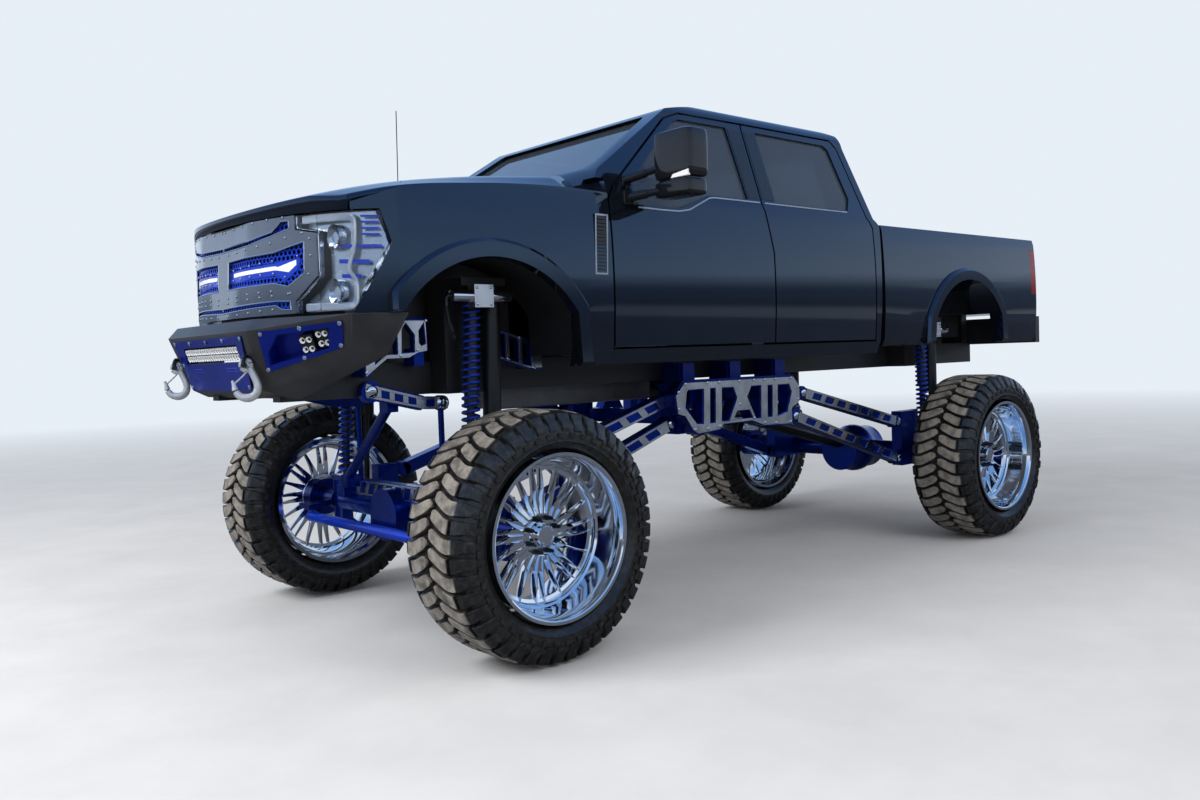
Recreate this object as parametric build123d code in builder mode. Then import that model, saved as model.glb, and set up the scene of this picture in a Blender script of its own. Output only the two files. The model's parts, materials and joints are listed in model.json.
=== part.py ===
from build123d import *
import os
from math import cos, radians, sin, tan

# Raised crew-cab pickup truck, in millimetres.
# +X points forward, +Y to the truck's left and +Z up.
# The origin is on the ground, under the middle of the whole truck.

os.makedirs("parts", exist_ok=True)

# Overall sizes and the wheels
front_reach = 1120
rear_reach = 5320
wheelbase = 4060
truck_length = front_reach + rear_reach
front_axle_x = truck_length / 2 - front_reach
rear_axle_x = front_axle_x - wheelbase
tyre_radius = 580
tyre_width = 460
wheel_y = 1078
rim_radius = 372
rim_lip = 14
rim_wall = 12
dish_depth = 180
hub_radius = 82

# Gaps and walls
seat = 0.3
door_gap = 12
hood_gap = 6
door_wall = 110
frame_wall = 38
glass_wall = 6
roof_wall = 45
panel = 36

# Heights of the body, lifted high above the axles
sill_z = 1345
floor_z = 1395
floor_top_z = 1421
door_bottom_z = 1427
lower_crease_z = 1424
upper_crease_z = 1622
shoulder_z = 2200
belt_z = 2243
rail_z = 2700
roof_z = 2850
bumper_line_z = 1612

# Half widths of the body
sill_y = 945
lower_crease_y = 975
body_y = 987
waist_y = 985
shoulder_y = 965
belt_y = 950
rail_y = 800
roof_side_y = 690

# Stations along the truck, ahead of the front axle (behind it when negative)
cab_front = -560
cowl_top = -600
roof_front = -1235
roof_back = -2850
cab_back = -3030
door_front = -634
door_split = -1915
door_back = -2950
hinge_heights = (1500, 1990)
hinge_height = 80
bed_front = -3055
bed_back = -5190
tailgate_front = -5128
nose = 895

# Frame, axles and steering
rail_in_y = 330
rail_out_y = 410
rail_bottom_z = 1230
shock_y = 650
shelf_z = {"front": 1750, "rear": 1550}
pad_z = {"front": 690, "rear": 700}
rail_top_z = 1392
receiver_z = 1320
receiver_bore = 51
receiver_end = 40 - rear_reach
axle_z = tyre_radius
axle_tube_r = 62
kingpin_y = 850
tie_rod_x = 215
tie_rod_z = 505
arm_inset = 55
steer_angle = 25


def at(x, y, z):
    """A point given by its distance ahead of the front axle."""
    return (front_axle_x + x, y, z)


def block(x, y, z, mode=Mode.ADD):
    """A box between two stations, two widths and two heights, each given as a pair."""
    with Locations(at((x[0] + x[1]) / 2, (y[0] + y[1]) / 2, (z[0] + z[1]) / 2)):
        Box(abs(x[1] - x[0]), abs(y[1] - y[0]), abs(z[1] - z[0]), mode=mode)


def grown(points, amount):
    """The same outline with each of its edges moved outward."""
    following = points[1:] + points[:1]
    area = sum(x1 * z2 - x2 * z1 for (x1, z1), (x2, z2) in zip(points, following))
    turn = 1 if area > 0 else -1
    corners = []
    for before, here, after in zip(points[-1:] + points[:-1], points, following):
        run_in = Vector(here[0] - before[0], here[1] - before[1]).normalized()
        run_out = Vector(after[0] - here[0], after[1] - here[1]).normalized()
        side_in = Vector(run_in.Y, -run_in.X) * turn
        side_out = Vector(run_out.Y, -run_out.X) * turn
        shift = (side_in + side_out) * (amount / (1 + side_in.dot(side_out)))
        corners.append((here[0] + shift.X, here[1] + shift.Y))
    return corners


def side_slab(points, y_in, y_out, grow=0, mode=Mode.ADD):
    """A flat outline seen from the side, carried from one width to another."""
    with BuildSketch(Plane.XZ.offset(-y_out)) as outline:
        with BuildLine():
            Polyline(*[(front_axle_x + x, z) for x, z in grown(points, grow)], close=True)
        make_face()
    extrude(outline.sketch, amount=y_out - y_in, mode=mode)


def bar(start, end, radius, mode=Mode.ADD):
    """A round bar from one point to another."""
    run = Vector(*end) - Vector(*start)
    with BuildSketch(Plane(origin=start, z_dir=run)) as ring:
        Circle(radius)
    extrude(ring.sketch, amount=run.length, mode=mode)


def beam(start, end, width, height, mode=Mode.ADD):
    """A flat-sided bar in a plane along the truck: width across it, height upright."""
    run = Vector(*end) - Vector(*start)
    with BuildSketch(Plane(origin=start, x_dir=(0, 1, 0), z_dir=run)) as bar_end:
        Rectangle(width, height)
    extrude(bar_end.sketch, amount=run.length, mode=mode)


def cross_pin(centre, radius, width, mode=Mode.ADD):
    """A short cylinder lying across the truck."""
    with Locations(Plane(origin=centre, z_dir=(0, 1, 0))):
        Cylinder(radius, width, mode=mode)


def finish(builder, label):
    builder.part.label = label
    export_step(builder.part, f"parts/{label}.step")


def body_section(lower, upper, roof, floor):
    """The cab's outline across the truck, set in by its walls."""
    with BuildSketch(Plane.YZ) as section:
        with BuildLine():
            Polyline(
                (0, floor),
                (sill_y - lower, floor),
                (lower_crease_y - lower, max(lower_crease_z, floor + 1)),
                (body_y - lower, upper_crease_z),
            )
            ThreePointArc(
                (body_y - lower, upper_crease_z),
                (waist_y - lower, 1930),
                (shoulder_y - lower, shoulder_z),
            )
            Polyline(
                (shoulder_y - lower, shoulder_z),
                (belt_y - upper, belt_z),
                (rail_y - upper, rail_z),
            )
            ThreePointArc(
                (rail_y - upper, rail_z),
                (rail_y - 28 - upper * 0.8, rail_z + 72 - roof * 0.5),
                (roof_side_y - upper * 0.5, roof_z - 34 - roof),
            )
            ThreePointArc(
                (roof_side_y - upper * 0.5, roof_z - 34 - roof),
                (roof_side_y * 0.52, roof_z - 9 - roof),
                (0, roof_z - roof),
            )
            Line((0, roof_z - roof), (0, floor))
        make_face()
        mirror(about=Plane.YZ)
    return section.sketch


def cab_form(front=0, back=0, roof=0, floor=sill_z, lower=0, upper=0):
    """The closed form of the cab, set in by the thickness of each wall."""
    with BuildPart() as form:
        with BuildSketch(Plane.XZ):
            with BuildLine():
                Polyline(
                    (front_axle_x + roof_back + back, roof_z - 65 - roof),
                    (front_axle_x - 2977 + back, belt_z - 18),
                    (front_axle_x + cab_back + back, shoulder_z - 20),
                    (front_axle_x + cab_back + 26 + back, floor),
                    (front_axle_x + cab_front - front, floor),
                    (front_axle_x + cab_front - front, belt_z + 22 - roof),
                    (front_axle_x + cowl_top - front, belt_z + 92 - roof),
                    (front_axle_x + roof_front - front, roof_z - 98 - roof),
                )
                ThreePointArc(
                    (front_axle_x + roof_front - front, roof_z - 98 - roof),
                    (front_axle_x - 1980, roof_z - roof),
                    (front_axle_x + roof_back + back, roof_z - 65 - roof),
                )
            make_face()
        extrude(amount=body_y + 10, both=True)
        extrude(body_section(lower, upper, roof, floor), amount=truck_length,
                both=True, mode=Mode.INTERSECT)
    return form.part


# Shut lines and windows, seen from the side
front_door_outline = [
    (door_front, door_bottom_z), (door_front, 2190), (-690, 2262), (-1205, 2690), (-1330, 2734),
    (-1862, 2738), (-1856, belt_z), (door_split, 1960), (door_split, door_bottom_z),
]
rear_door_outline = [
    (door_split, door_bottom_z), (door_split, 1960), (-1856, belt_z), (-1862, 2738),
    (-2740, 2738), (-2800, 2690), (-2905, 2225), (door_back, 2160), (door_back, door_bottom_z),
]
front_window_outline = [
    (-800, 2165), (-830, 2300), (-1270, 2675), (-1325, 2697), (-1720, 2700), (-1738, 2262),
    (-1420, 2262), (-1150, 2170),
]
rear_window_outline = [
    (-1990, 2262), (-1985, 2700), (-2660, 2696), (-2700, 2670), (-2765, 2345), (-2715, 2262),
]


def door(outline, window):
    """One door on the left, as thick as the whole wall, with its window cut."""
    with BuildPart() as leaf:
        add(cab_form())
        add(cab_form(70, 60, roof_wall, floor_top_z, door_wall, frame_wall), mode=Mode.SUBTRACT)
        side_slab(outline, 690, 1100, grow=-door_gap / 2, mode=Mode.INTERSECT)
        side_slab(window, 690, 1100, mode=Mode.SUBTRACT)
    with BuildPart() as pane:
        add(cab_form(lower=14, upper=14, roof=14))
        add(cab_form(lower=14 + glass_wall, upper=14 + glass_wall, roof=20), mode=Mode.SUBTRACT)
        side_slab(window, 690, 1100, grow=-seat, mode=Mode.INTERSECT)
    return leaf, pane


def write_sides(builder, name):
    """Write the left piece as built, and its mirror image on the right."""
    finish(builder, f"{name}_left")
    with BuildPart() as right:
        add(builder.part)
        mirror(about=Plane.XZ, mode=Mode.REPLACE)
    finish(right, f"{name}_right")


# Doors and their glass
front_leaf, front_pane = door(front_door_outline, front_window_outline)
rear_leaf, rear_pane = door(rear_door_outline, rear_window_outline)
write_sides(front_leaf, "door_front")
write_sides(rear_leaf, "door_rear")
write_sides(front_pane, "door_glass_front")
write_sides(rear_pane, "door_glass_rear")

# Cab shell: floor, pillars, roof, firewall and back wall, with every opening cut
with BuildPart() as cab_shell:
    add(cab_form())
    add(cab_form(70, 60, roof_wall, floor_top_z, door_wall, frame_wall), mode=Mode.SUBTRACT)
    block((cab_back - 10, cab_front + 10), (-860, 860), (sill_z - 5, floor_z), mode=Mode.SUBTRACT)
    for outline in (front_door_outline, rear_door_outline):
        side_slab(outline, 690, 1100, grow=door_gap / 2, mode=Mode.SUBTRACT)
        side_slab(outline, -1100, -690, grow=door_gap / 2, mode=Mode.SUBTRACT)
    # The hinge pillars stand inside the rear ends of the fenders
    for side in (-1, 1):
        block((door_front + 5, 0), (side * 900, side * 1100), (sill_z - 5, 2150), mode=Mode.SUBTRACT)
        block((door_front + 5, 0), (side * 844, side * 1100), (2140, 2290), mode=Mode.SUBTRACT)
    with BuildSketch(Plane.YZ.offset(front_axle_x - 1400)) as windshield_hole:
        with BuildLine():
            Polyline((-790, 2368), (790, 2368), (672, 2724), (-672, 2724), close=True)
        make_face()
        fillet(windshield_hole.vertices(), 40)
    extrude(windshield_hole.sketch, amount=1000, mode=Mode.SUBTRACT)
    with BuildSketch(Plane.YZ.offset(front_axle_x - 3100)) as back_hole:
        with BuildLine():
            Polyline((-660, 2290), (660, 2290), (590, 2680), (-590, 2680), close=True)
        make_face()
        fillet(back_hole.vertices(), 40)
    extrude(back_hole.sketch, amount=400, mode=Mode.SUBTRACT)
with BuildPart() as pillars:
    add(cab_form(60, 50, roof_wall - 5, floor_top_z - 5, door_wall + 6, frame_wall + 6))
    add(cab_form(60, 50, roof_wall - 5, floor_top_z - 6, door_wall + 60, frame_wall + 70),
        mode=Mode.SUBTRACT)
    block((-1945, -1835), (-1000, 1000), (floor_top_z - 2, 2800), mode=Mode.INTERSECT)
    block((-2000, -1800), (-640, 640), (1300, 2900), mode=Mode.SUBTRACT)
with BuildPart() as rear_hinges:
    add(cab_form(60, 50, roof_wall, floor_top_z, door_wall + seat, frame_wall + seat))
    add(cab_form(60, 50, roof_wall, floor_top_z, door_wall + 12, frame_wall + 12),
        mode=Mode.SUBTRACT)
    with BuildPart(mode=Mode.PRIVATE) as hinge_places:
        for low in hinge_heights:
            block((-1944, -1926), (-1000, 1000), (low, low + hinge_height))
    add(hinge_places.part, mode=Mode.INTERSECT)
with BuildPart() as cab:
    add(cab_shell.part)
    add(pillars.part)
    add(rear_hinges.part)
    for low in hinge_heights:
        for side in (-1, 1):
            block((door_front + 5, door_front - door_gap / 2 + seat), (side * 876, side * 899),
                  (low, low + hinge_height))
finish(cab, "cab_shell")

# Windshield and rear window
with BuildPart() as cab_glass:
    add(cab_form(front=24, back=20, roof=14, upper=10))
    add(cab_form(front=36, back=27, roof=20, upper=12), mode=Mode.SUBTRACT)
    with BuildPart(mode=Mode.PRIVATE) as holes:
        extrude(offset(windshield_hole.sketch, -seat, mode=Mode.PRIVATE), amount=1000)
        extrude(offset(back_hole.sketch, -seat, mode=Mode.PRIVATE), amount=400)
    add(holes.part, mode=Mode.INTERSECT)
finish(cab_glass, "cab_glass")


# Front of the body
def nose_form(inset, lid):
    """The closed form of the fenders and nose, set in by their wall and, from above, by a lid."""
    shift = front_axle_x
    with BuildPart() as form:
        with BuildSketch(Plane.XZ):
            with BuildLine():
                Polyline(
                    (shift + 570, 2144 - lid),
                    (shift + 765, 2076 - lid),
                    (shift + 868 - inset, 2060 - lid),
                    (shift + nose - inset, bumper_line_z),
                    (shift + nose - inset, sill_z),
                    (shift + door_front + hood_gap, sill_z),
                    (shift + door_front + hood_gap, 2212 - lid),
                )
                ThreePointArc(
                    (shift + door_front + hood_gap, 2212 - lid),
                    (shift + 100, 2200 - lid),
                    (shift + 570, 2144 - lid),
                )
            make_face()
        extrude(amount=body_y + 10, both=True)
        with BuildSketch(Plane.YZ) as section:
            with BuildLine():
                Polyline(
                    (0, sill_z),
                    (sill_y - inset, sill_z),
                    (lower_crease_y - inset, lower_crease_z),
                    (body_y - inset, upper_crease_z),
                )
                ThreePointArc(
                    (body_y - inset, upper_crease_z),
                    (waist_y - inset, 1930),
                    (shoulder_y - inset, shoulder_z),
                )
                Polyline(
                    (shoulder_y - inset, shoulder_z),
                    (shoulder_y - inset, 2300),
                    (0, 2300),
                    (0, sill_z),
                )
            make_face()
            mirror(about=Plane.YZ)
        extrude(section.sketch, amount=truck_length, both=True, mode=Mode.INTERSECT)
        with BuildSketch(Plane.XY.offset(sill_z - 10)) as plan:
            with BuildLine():
                Polyline((shift - 700, 0), (shift - 700, 1000 - inset), (shift + 400, 995 - inset))
                ThreePointArc(
                    (shift + 400, 995 - inset),
                    (shift + 690 - inset * 0.5, 905 - inset),
                    (shift + 845 - inset, 660 - inset * 0.5),
                )
                ThreePointArc(
                    (shift + 845 - inset, 660 - inset * 0.5),
                    (shift + nose - 12 - inset, 380),
                    (shift + nose - inset, 0),
                )
                Line((shift + nose - inset, 0), (shift - 700, 0))
            make_face()
            mirror(about=Plane.XZ)
        extrude(plan.sketch, amount=1000, mode=Mode.INTERSECT)
    return form.part


grille_depth = 90
lamp_depth = 98
lamp_outline = [
    (1000, 2050), (648, 2050), (606, 1905), (742, 1624), (1000, 1624),
]


def arch(points, y_in, y_out, mode=Mode.ADD, grow=0):
    """A wheel arch seen from the side: two legs joined by one arc, carried between two widths."""
    foot, back, top, front, toe = [(front_axle_x + x, z) for x, z in points]
    with BuildSketch(Plane.XZ.offset(-y_out)) as opening:
        with BuildLine():
            Polyline(toe, foot, back)
            ThreePointArc(back, top, front)
            Line(front, toe)
        make_face()
        if grow:
            offset(amount=grow)
    extrude(opening.sketch, amount=y_out - y_in, mode=mode)


front_arch = [(-393, sill_z - 60), (-374, 1603), (98, 1859), (591, 1614), (640, sill_z - 60)]
rear_arch = [(-3620, sill_z - 60), (-3648, 1560), (-4120, 1850), (-4578, 1600), (-4610, sill_z - 60)]
flare_width = 86
flare_y = 1014

# The left fender, with its flared arch and the place for its lamp
with BuildPart() as fender:
    add(nose_form(0, 0))
    add(nose_form(panel, panel), mode=Mode.SUBTRACT)
    block((-700, 1000), (-1100, 848 + hood_gap), (sill_z - 10, 2400), mode=Mode.SUBTRACT)
    block((560, 1000), (800, 1100), (sill_z - 10, bumper_line_z), mode=Mode.SUBTRACT)
    side_slab(lamp_outline, 500, 1100, grow=seat, mode=Mode.SUBTRACT)
    with BuildPart(mode=Mode.PRIVATE) as flare:
        arch(front_arch, body_y - 25, flare_y, grow=flare_width)
        block((-615, 640), (900, 1100), (sill_z, 2100), mode=Mode.INTERSECT)
        chamfer(flare.edges().group_by(Axis.Y)[-1], 18)
    add(flare.part)
    arch(front_arch, 800, 1100, mode=Mode.SUBTRACT)
    block((560, 1000), (800, 1100), (sill_z - 100, bumper_line_z), mode=Mode.SUBTRACT)
    with Locations(Plane(origin=at(cab_front + 30, 848 + seat, 2196), z_dir=(0, 1, 0))):
        Cylinder(9, 14, align=(Align.CENTER, Align.CENTER, Align.MIN))
write_sides(fender, "fender")

# Headlamps: thick wrap-round lenses
with BuildPart() as headlamp:
    add(nose_form(3, 3))
    add(nose_form(lamp_depth, -20), mode=Mode.SUBTRACT)
    side_slab(lamp_outline, 574, 1100, mode=Mode.INTERSECT)
    mirror(about=Plane.XZ)
finish(headlamp, "headlamps")

# Grille: surround and three bars
grille_y = 570
with BuildPart() as grille:
    add(nose_form(2, 2))
    add(nose_form(grille_depth, -20), mode=Mode.SUBTRACT)
    block((700, 1000), (-grille_y, grille_y), (1622, 2056), mode=Mode.INTERSECT)
    for low, high in ((1665, 1760), (1800, 1905), (1945, 2020)):
        block((600, 1000), (-grille_y + 50, grille_y - 50), (low, high), mode=Mode.SUBTRACT)
finish(grille, "grille")

with BuildPart() as grille_mesh:
    add(nose_form(grille_depth + seat, -20))
    add(nose_form(lamp_depth, -40), mode=Mode.SUBTRACT)
    block((700, 1000), (-grille_y + 20, grille_y - 20), (1635, 2040), mode=Mode.INTERSECT)
finish(grille_mesh, "grille_mesh")

# Radiator panel that carries the grille and the lamps
with BuildPart() as radiator_panel:
    add(nose_form(lamp_depth + seat, 0))
    block((700, 1000), (-680, 680), (bumper_line_z, 2030), mode=Mode.INTERSECT)
    block((700, 740), (-680, 680), (1500, bumper_line_z))
    for side in (-1, 1):
        block((700, 740), (side * rail_in_y, side * rail_out_y), (rail_top_z, 1500))
finish(radiator_panel, "radiator_panel")

# Hood: four cross sections, each with a flat shoulder and a crowned middle
hood_half = 848
hood_sheet = 34
# station, edge height, shoulder height, middle height
hood_sections = (
    (872, 2070, 2108, 2128),
    (520, 2166, 2202, 2236),
    (0, 2216, 2280, 2318),
    (cab_front + 10, 2226, 2330, 2372),
)
with BuildPart() as hood:
    for station, edge_z, shoulder, middle in hood_sections:
        with BuildSketch(Plane.YZ.offset(front_axle_x + station)):
            with BuildLine():
                for drop in (0, hood_sheet):
                    Line((-hood_half, edge_z - drop), (-690, shoulder - drop))
                    ThreePointArc((-690, shoulder - drop), (0, middle - drop), (690, shoulder - drop))
                    Line((690, shoulder - drop), (hood_half, edge_z - drop))
                Line((hood_half, edge_z), (hood_half, edge_z - hood_sheet))
                Line((-hood_half, edge_z - hood_sheet), (-hood_half, edge_z))
            make_face()
    loft()
finish(hood, "hood")

# Front bumper: a faceted winged shell
# height, then pairs of station and half width from the middle to the wing's rear end
bumper_levels = (
    (1606, ((1040, 0), (1040, 470), (812, 966), (545, 985))),
    (1450, ((1068, 0), (1068, 470), (835, 980), (640, 988))),
    (1250, ((985, 0), (985, 430), (930, 770), (800, 860))),
)
bumper_sheet = 60
def bumper_form(sheet):
    """The bumper's closed form, set in from its face by a sheet's thickness."""
    with BuildPart() as form:
        for height, corners in bumper_levels:
            low = height < 1300 and sheet > 0
            with BuildSketch(Plane.XY.offset(height - 20 if low else height)):
                with BuildLine():
                    outer = [
                        (front_axle_x + x - sheet, y - sheet * 0.7) for x, y in corners[1:]
                    ]
                    back = front_axle_x + 540 - sheet * 3
                    far = [(x, -y) for x, y in reversed(outer)]
                    Polyline(*far, *outer, (back, outer[-1][1]), (back, -outer[-1][1]), close=True)
                make_face()
        loft(ruled=True)
    return form.part


lamp_recess = 40
pod_places = (640, 760)
with BuildPart() as front_bumper:
    add(bumper_form(0))
    add(bumper_form(bumper_sheet), mode=Mode.SUBTRACT)
    with BuildPart(mode=Mode.PRIVATE) as bays:
        block((800, 1100), (-380, 380), (1490, 1560))
        block((800, 1100), (-330, 330), (1320, 1440))
        for side in (-1, 1):
            block((700, 1100), (side * 560, side * 850), (1440, 1560))
        add(bumper_form(lamp_recess), mode=Mode.SUBTRACT)
    add(bays.part, mode=Mode.SUBTRACT)
    # brackets back to the frame's ends
    for side in (-1, 1):
        block((900 + seat, 1020), (side * rail_in_y, side * rail_out_y), (1300, rail_top_z))
finish(front_bumper, "front_bumper")

# Lamps in the bumper: the light bar and two square pods in each wing
with BuildPart() as bumper_lamps:
    block((800, 1100), (-378, 378), (1492, 1558))
    for side in (-1, 1):
        for middle in pod_places:
            block((700, 1100), (side * (middle - 48), side * (middle + 48)), (1452, 1548))
    add(bumper_form(8), mode=Mode.INTERSECT)
    add(bumper_form(lamp_recess - seat), mode=Mode.SUBTRACT)
finish(bumper_lamps, "bumper_lamps")

# Tow hooks hung from shackles
hook_y = 430
hook_z = 1330
hook_thick = 40
hook_x = front_reach - hook_thick / 2
with BuildPart() as tow_hooks:
    for side in (-1, 1):
        cross_pin(at(hook_x, side * hook_y, hook_z + 110), 20, 74)
        with Locations(Plane(origin=at(hook_x, side * hook_y, hook_z), z_dir=(1, 0, 0))):
            Cylinder(62, hook_thick)
            Cylinder(30, hook_thick + 10, mode=Mode.SUBTRACT)
        block((hook_x - 18, hook_x + 18), (side * (hook_y - 16), side * (hook_y + 16)),
              (hook_z + 50, hook_z + 110))
        for near, far in ((-37, -23), (23, 37)):
            block((hook_x - 90, hook_x + 10), (side * (hook_y + near), side * (hook_y + far)),
                  (hook_z + 90, hook_z + 130))
    add(front_bumper.part, mode=Mode.SUBTRACT)
finish(tow_hooks, "tow_hooks")

# Arch liners over the front wheels
with BuildPart() as arch_liners:
    arch(front_arch, 580, 980, grow=22)
    arch(front_arch, 570, 990, grow=14, mode=Mode.SUBTRACT)
    block((-600, 530), (500, 1000), (1400, 2000), mode=Mode.INTERSECT)
    add(nose_form(panel + seat, panel + seat), mode=Mode.INTERSECT)
    mirror(about=Plane.XZ)
finish(arch_liners, "arch_liners")

# Bed box
bed_floor_z = 1657
bed_rail_z = 2190
bed_wall = 75
post_y = 800
with BuildPart() as bed_box:
    with BuildSketch(Plane.YZ.offset(front_axle_x + bed_back)) as bed_section:
        with BuildLine():
            Polyline((0, sill_z + 43), (sill_y + 10, sill_z + 43), (lower_crease_y, lower_crease_z + 12),
                     (body_y, upper_crease_z))
            ThreePointArc((body_y, upper_crease_z), (waist_y, 1900), (shoulder_y + 4, 2150))
            Polyline((shoulder_y + 4, 2150), (shoulder_y - 8, bed_rail_z), (0, bed_rail_z),
                     (0, sill_z + 43))
        make_face()
        mirror(about=Plane.YZ)
    extrude(bed_section.sketch, amount=bed_front - bed_back)
    block((bed_back - 10, bed_front - 45), (-body_y + bed_wall, body_y - bed_wall),
          (bed_floor_z, 2300), mode=Mode.SUBTRACT)
    block((bed_back - 10, bed_front + 10), (-body_y + bed_wall, body_y - bed_wall),
          (sill_z, bed_floor_z - 50), mode=Mode.SUBTRACT)
    for side in (-1, 1):
        block((-4640, -3590), (side * 720, side * 930), (bed_floor_z - 20, 1900))
        if side > 0:
            arch(rear_arch, 745, 1100, mode=Mode.SUBTRACT)
        else:
            arch(rear_arch, -1100, -745, mode=Mode.SUBTRACT)
    for side in (-1, 1):
        block((bed_back, tailgate_front + 8), (side * post_y, side * 930), (bed_floor_z - 50, bed_rail_z))
    block((bed_back - 10, tailgate_front + 5), (-post_y, post_y), (1500, 2300), mode=Mode.SUBTRACT)
    with BuildPart(mode=Mode.PRIVATE) as rear_flare:
        arch(rear_arch, body_y - 25, flare_y, grow=flare_width)
        block((-4760, -3500), (900, 1100), (sill_z + 50, 2100), mode=Mode.INTERSECT)
        chamfer(rear_flare.edges().group_by(Axis.Y)[-1], 18)
        arch(rear_arch, 900, 1100, mode=Mode.SUBTRACT)
        mirror(about=Plane.XZ)
    add(rear_flare.part)
    for side in (-1, 1):
        block((bed_back - 10, bed_back + 80), (side * 850, side * 1100), (1760, 2110), mode=Mode.SUBTRACT)
        cross_pin(at(bed_back + 25, side * (post_y - 2.85), bed_floor_z - 15), 12, 5.7)
finish(bed_box, "bed_box")

with BuildPart() as tail_lamps:
    extrude(bed_section.sketch, amount=80 - seat)
    block((bed_back - 10, bed_back + 80), (850 + seat, 1100), (1760 + seat, 2110 - seat),
          mode=Mode.INTERSECT)
    mirror(about=Plane.XZ)
finish(tail_lamps, "tail_lamps")

# Tailgate between the rear posts
tailgate_thick = 55
with BuildPart() as tailgate:
    block((tailgate_front - tailgate_thick, tailgate_front), (-post_y + 6, post_y - 6),
          (bed_floor_z - 40, bed_rail_z - 3))
    block((tailgate_front - tailgate_thick - 5, tailgate_front - tailgate_thick + 12),
          (-130, 130), (2040, 2100), mode=Mode.SUBTRACT)
finish(tailgate, "tailgate")

# Rear bumper with a step in its middle
with BuildPart() as rear_bumper:
    with BuildSketch(Plane.XY.offset(1375)) as bumper_plan:
        with BuildLine():
            Polyline(
                at(-rear_reach, -880, 0)[:2], at(-rear_reach, 880, 0)[:2], at(-5270, 970, 0)[:2],
                at(-5205, 970, 0)[:2], at(-5205, -970, 0)[:2], at(-5270, -970, 0)[:2], close=True,
            )
        make_face()
    extrude(bumper_plan.sketch, amount=210)
    block((-5330, -5200), (-270, 270), (1540, 1600), mode=Mode.SUBTRACT)
    for side in (-1, 1):
        block((-5205, -5190), (side * rail_in_y, side * rail_out_y), (1375, rail_top_z))
finish(rear_bumper, "rear_bumper")

# Mirrors on two arms
with BuildPart() as mirror_head:
    with BuildSketch(Plane.XY.offset(2180)) as housing:
        with Locations(at(-925, 1200, 0)[:2]):
            RectangleRounded(150, 260, 45)
    extrude(housing.sketch, amount=335)
    chamfer(mirror_head.edges().group_by(Axis.Z)[-1], 20)
    bar(at(-775, 925, 2290), at(-880, 1110, 2345), 20)
    bar(at(-760, 955, 2195), at(-880, 1110, 2225), 20)
    block((-795, -725), (940, 985), (2165, 2230))
    block((-815, -755), (912, 945), (2262, 2312))
    add(front_leaf.part, mode=Mode.SUBTRACT)
write_sides(mirror_head, "mirror")

# Seats, dashboard and steering wheel
with BuildPart() as seats:
    for side in (-1, 1):
        block((-1750, -1230), (side * 140, side * 660), (floor_top_z + seat, 1780))
        with BuildSketch(Plane.XZ.offset(-side * 400)) as backrest:
            with BuildLine():
                Polyline(at(-1640, 0, 0)[0:1] + (1780,), at(-1750, 0, 0)[0:1] + (1780,),
                         at(-1830, 0, 0)[0:1] + (2420,), at(-1730, 0, 0)[0:1] + (2420,), close=True)
            make_face()
        extrude(backrest.sketch, amount=230, both=True)
    block((-2750, -2300), (-700, 700), (floor_top_z + seat, 1780))
    block((-2870, -2750), (-700, 700), (1700, 2360))
finish(seats, "seats")

with BuildPart() as dashboard:
    side_slab([(-630 - seat, 1900), (-630 - seat, 2205), (-720, 2225), (-900, 2190), (-960, 2080), (-820, 1900)],
              -820, 820)
    with Locations(Plane(origin=at(-1040, 400, 2120), z_dir=(-1, 0, 0.45))):
        Torus(185, 16)
        Cylinder(38, 30)
        Box(350, 30, 16)
    bar(at(-1036, 400, 2118), at(-900, 400, 2070), 26)
finish(dashboard, "dashboard")

with BuildPart() as antenna:
    bar(at(-500, -880, 2230), at(-515, -880, 2980), 3)
    bar(at(-500, -880, 2200), at(-500, -880, 2240), 14)
    add(fender.part.mirror(Plane.XZ), mode=Mode.SUBTRACT)
finish(antenna, "antenna")

# Frame: rails, crossmembers, receiver, body mounts and shock towers
crossmembers = (820, -2350, -3350, -4850, -5150)
mounts = (-700, -1400, -2200, -2900)
with BuildPart() as frame:
    for side in (-1, 1):
        block((-5190, 900), (side * rail_in_y, side * rail_out_y), (rail_bottom_z, rail_top_z))
        for x in mounts:
            block((x - 40, x + 40), (side * rail_in_y, side * rail_out_y), (rail_top_z, floor_z))
        for x in (-3200, -4000, -4700, -5100):
            block((x - 40, x + 40), (side * rail_in_y, side * rail_out_y),
                  (rail_top_z, bed_floor_z - 50))
        # front and rear shock towers, with a shelf over the shocks
        for x, shelf in ((0, shelf_z["front"]), (-wheelbase, shelf_z["rear"])):
            block((x - 150, x + 110), (side * rail_out_y, side * 560), (rail_bottom_z, shelf + 40))
            block((x - 150, x + 110), (side * 560, side * 720), (shelf, shelf + 40))
    for x in crossmembers:
        block((x - 40, x + 40), (-rail_in_y, rail_in_y), (rail_bottom_z + 20, rail_top_z - 20))
    # square receiver for a drawbar
    block((receiver_end, -5150), (-receiver_bore / 2 - 7, receiver_bore / 2 + 7),
          (receiver_z - receiver_bore / 2 - 7, receiver_z + receiver_bore / 2 + 7))
    block((receiver_end - 5, -5170), (-receiver_bore / 2, receiver_bore / 2),
          (receiver_z - receiver_bore / 2, receiver_z + receiver_bore / 2), mode=Mode.SUBTRACT)
finish(frame, "frame")

# Engine and gearbox as one plain block, on its mounts
with BuildPart() as engine_block:
    block((-480, 520), (-290, 290), (1300, 2020))
    block((-1650, -480), (-170, 170), (1110, 1380))
    block((-60, 60), (-rail_in_y, rail_in_y), (1290, 1380))
finish(engine_block, "engine_block")

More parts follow.
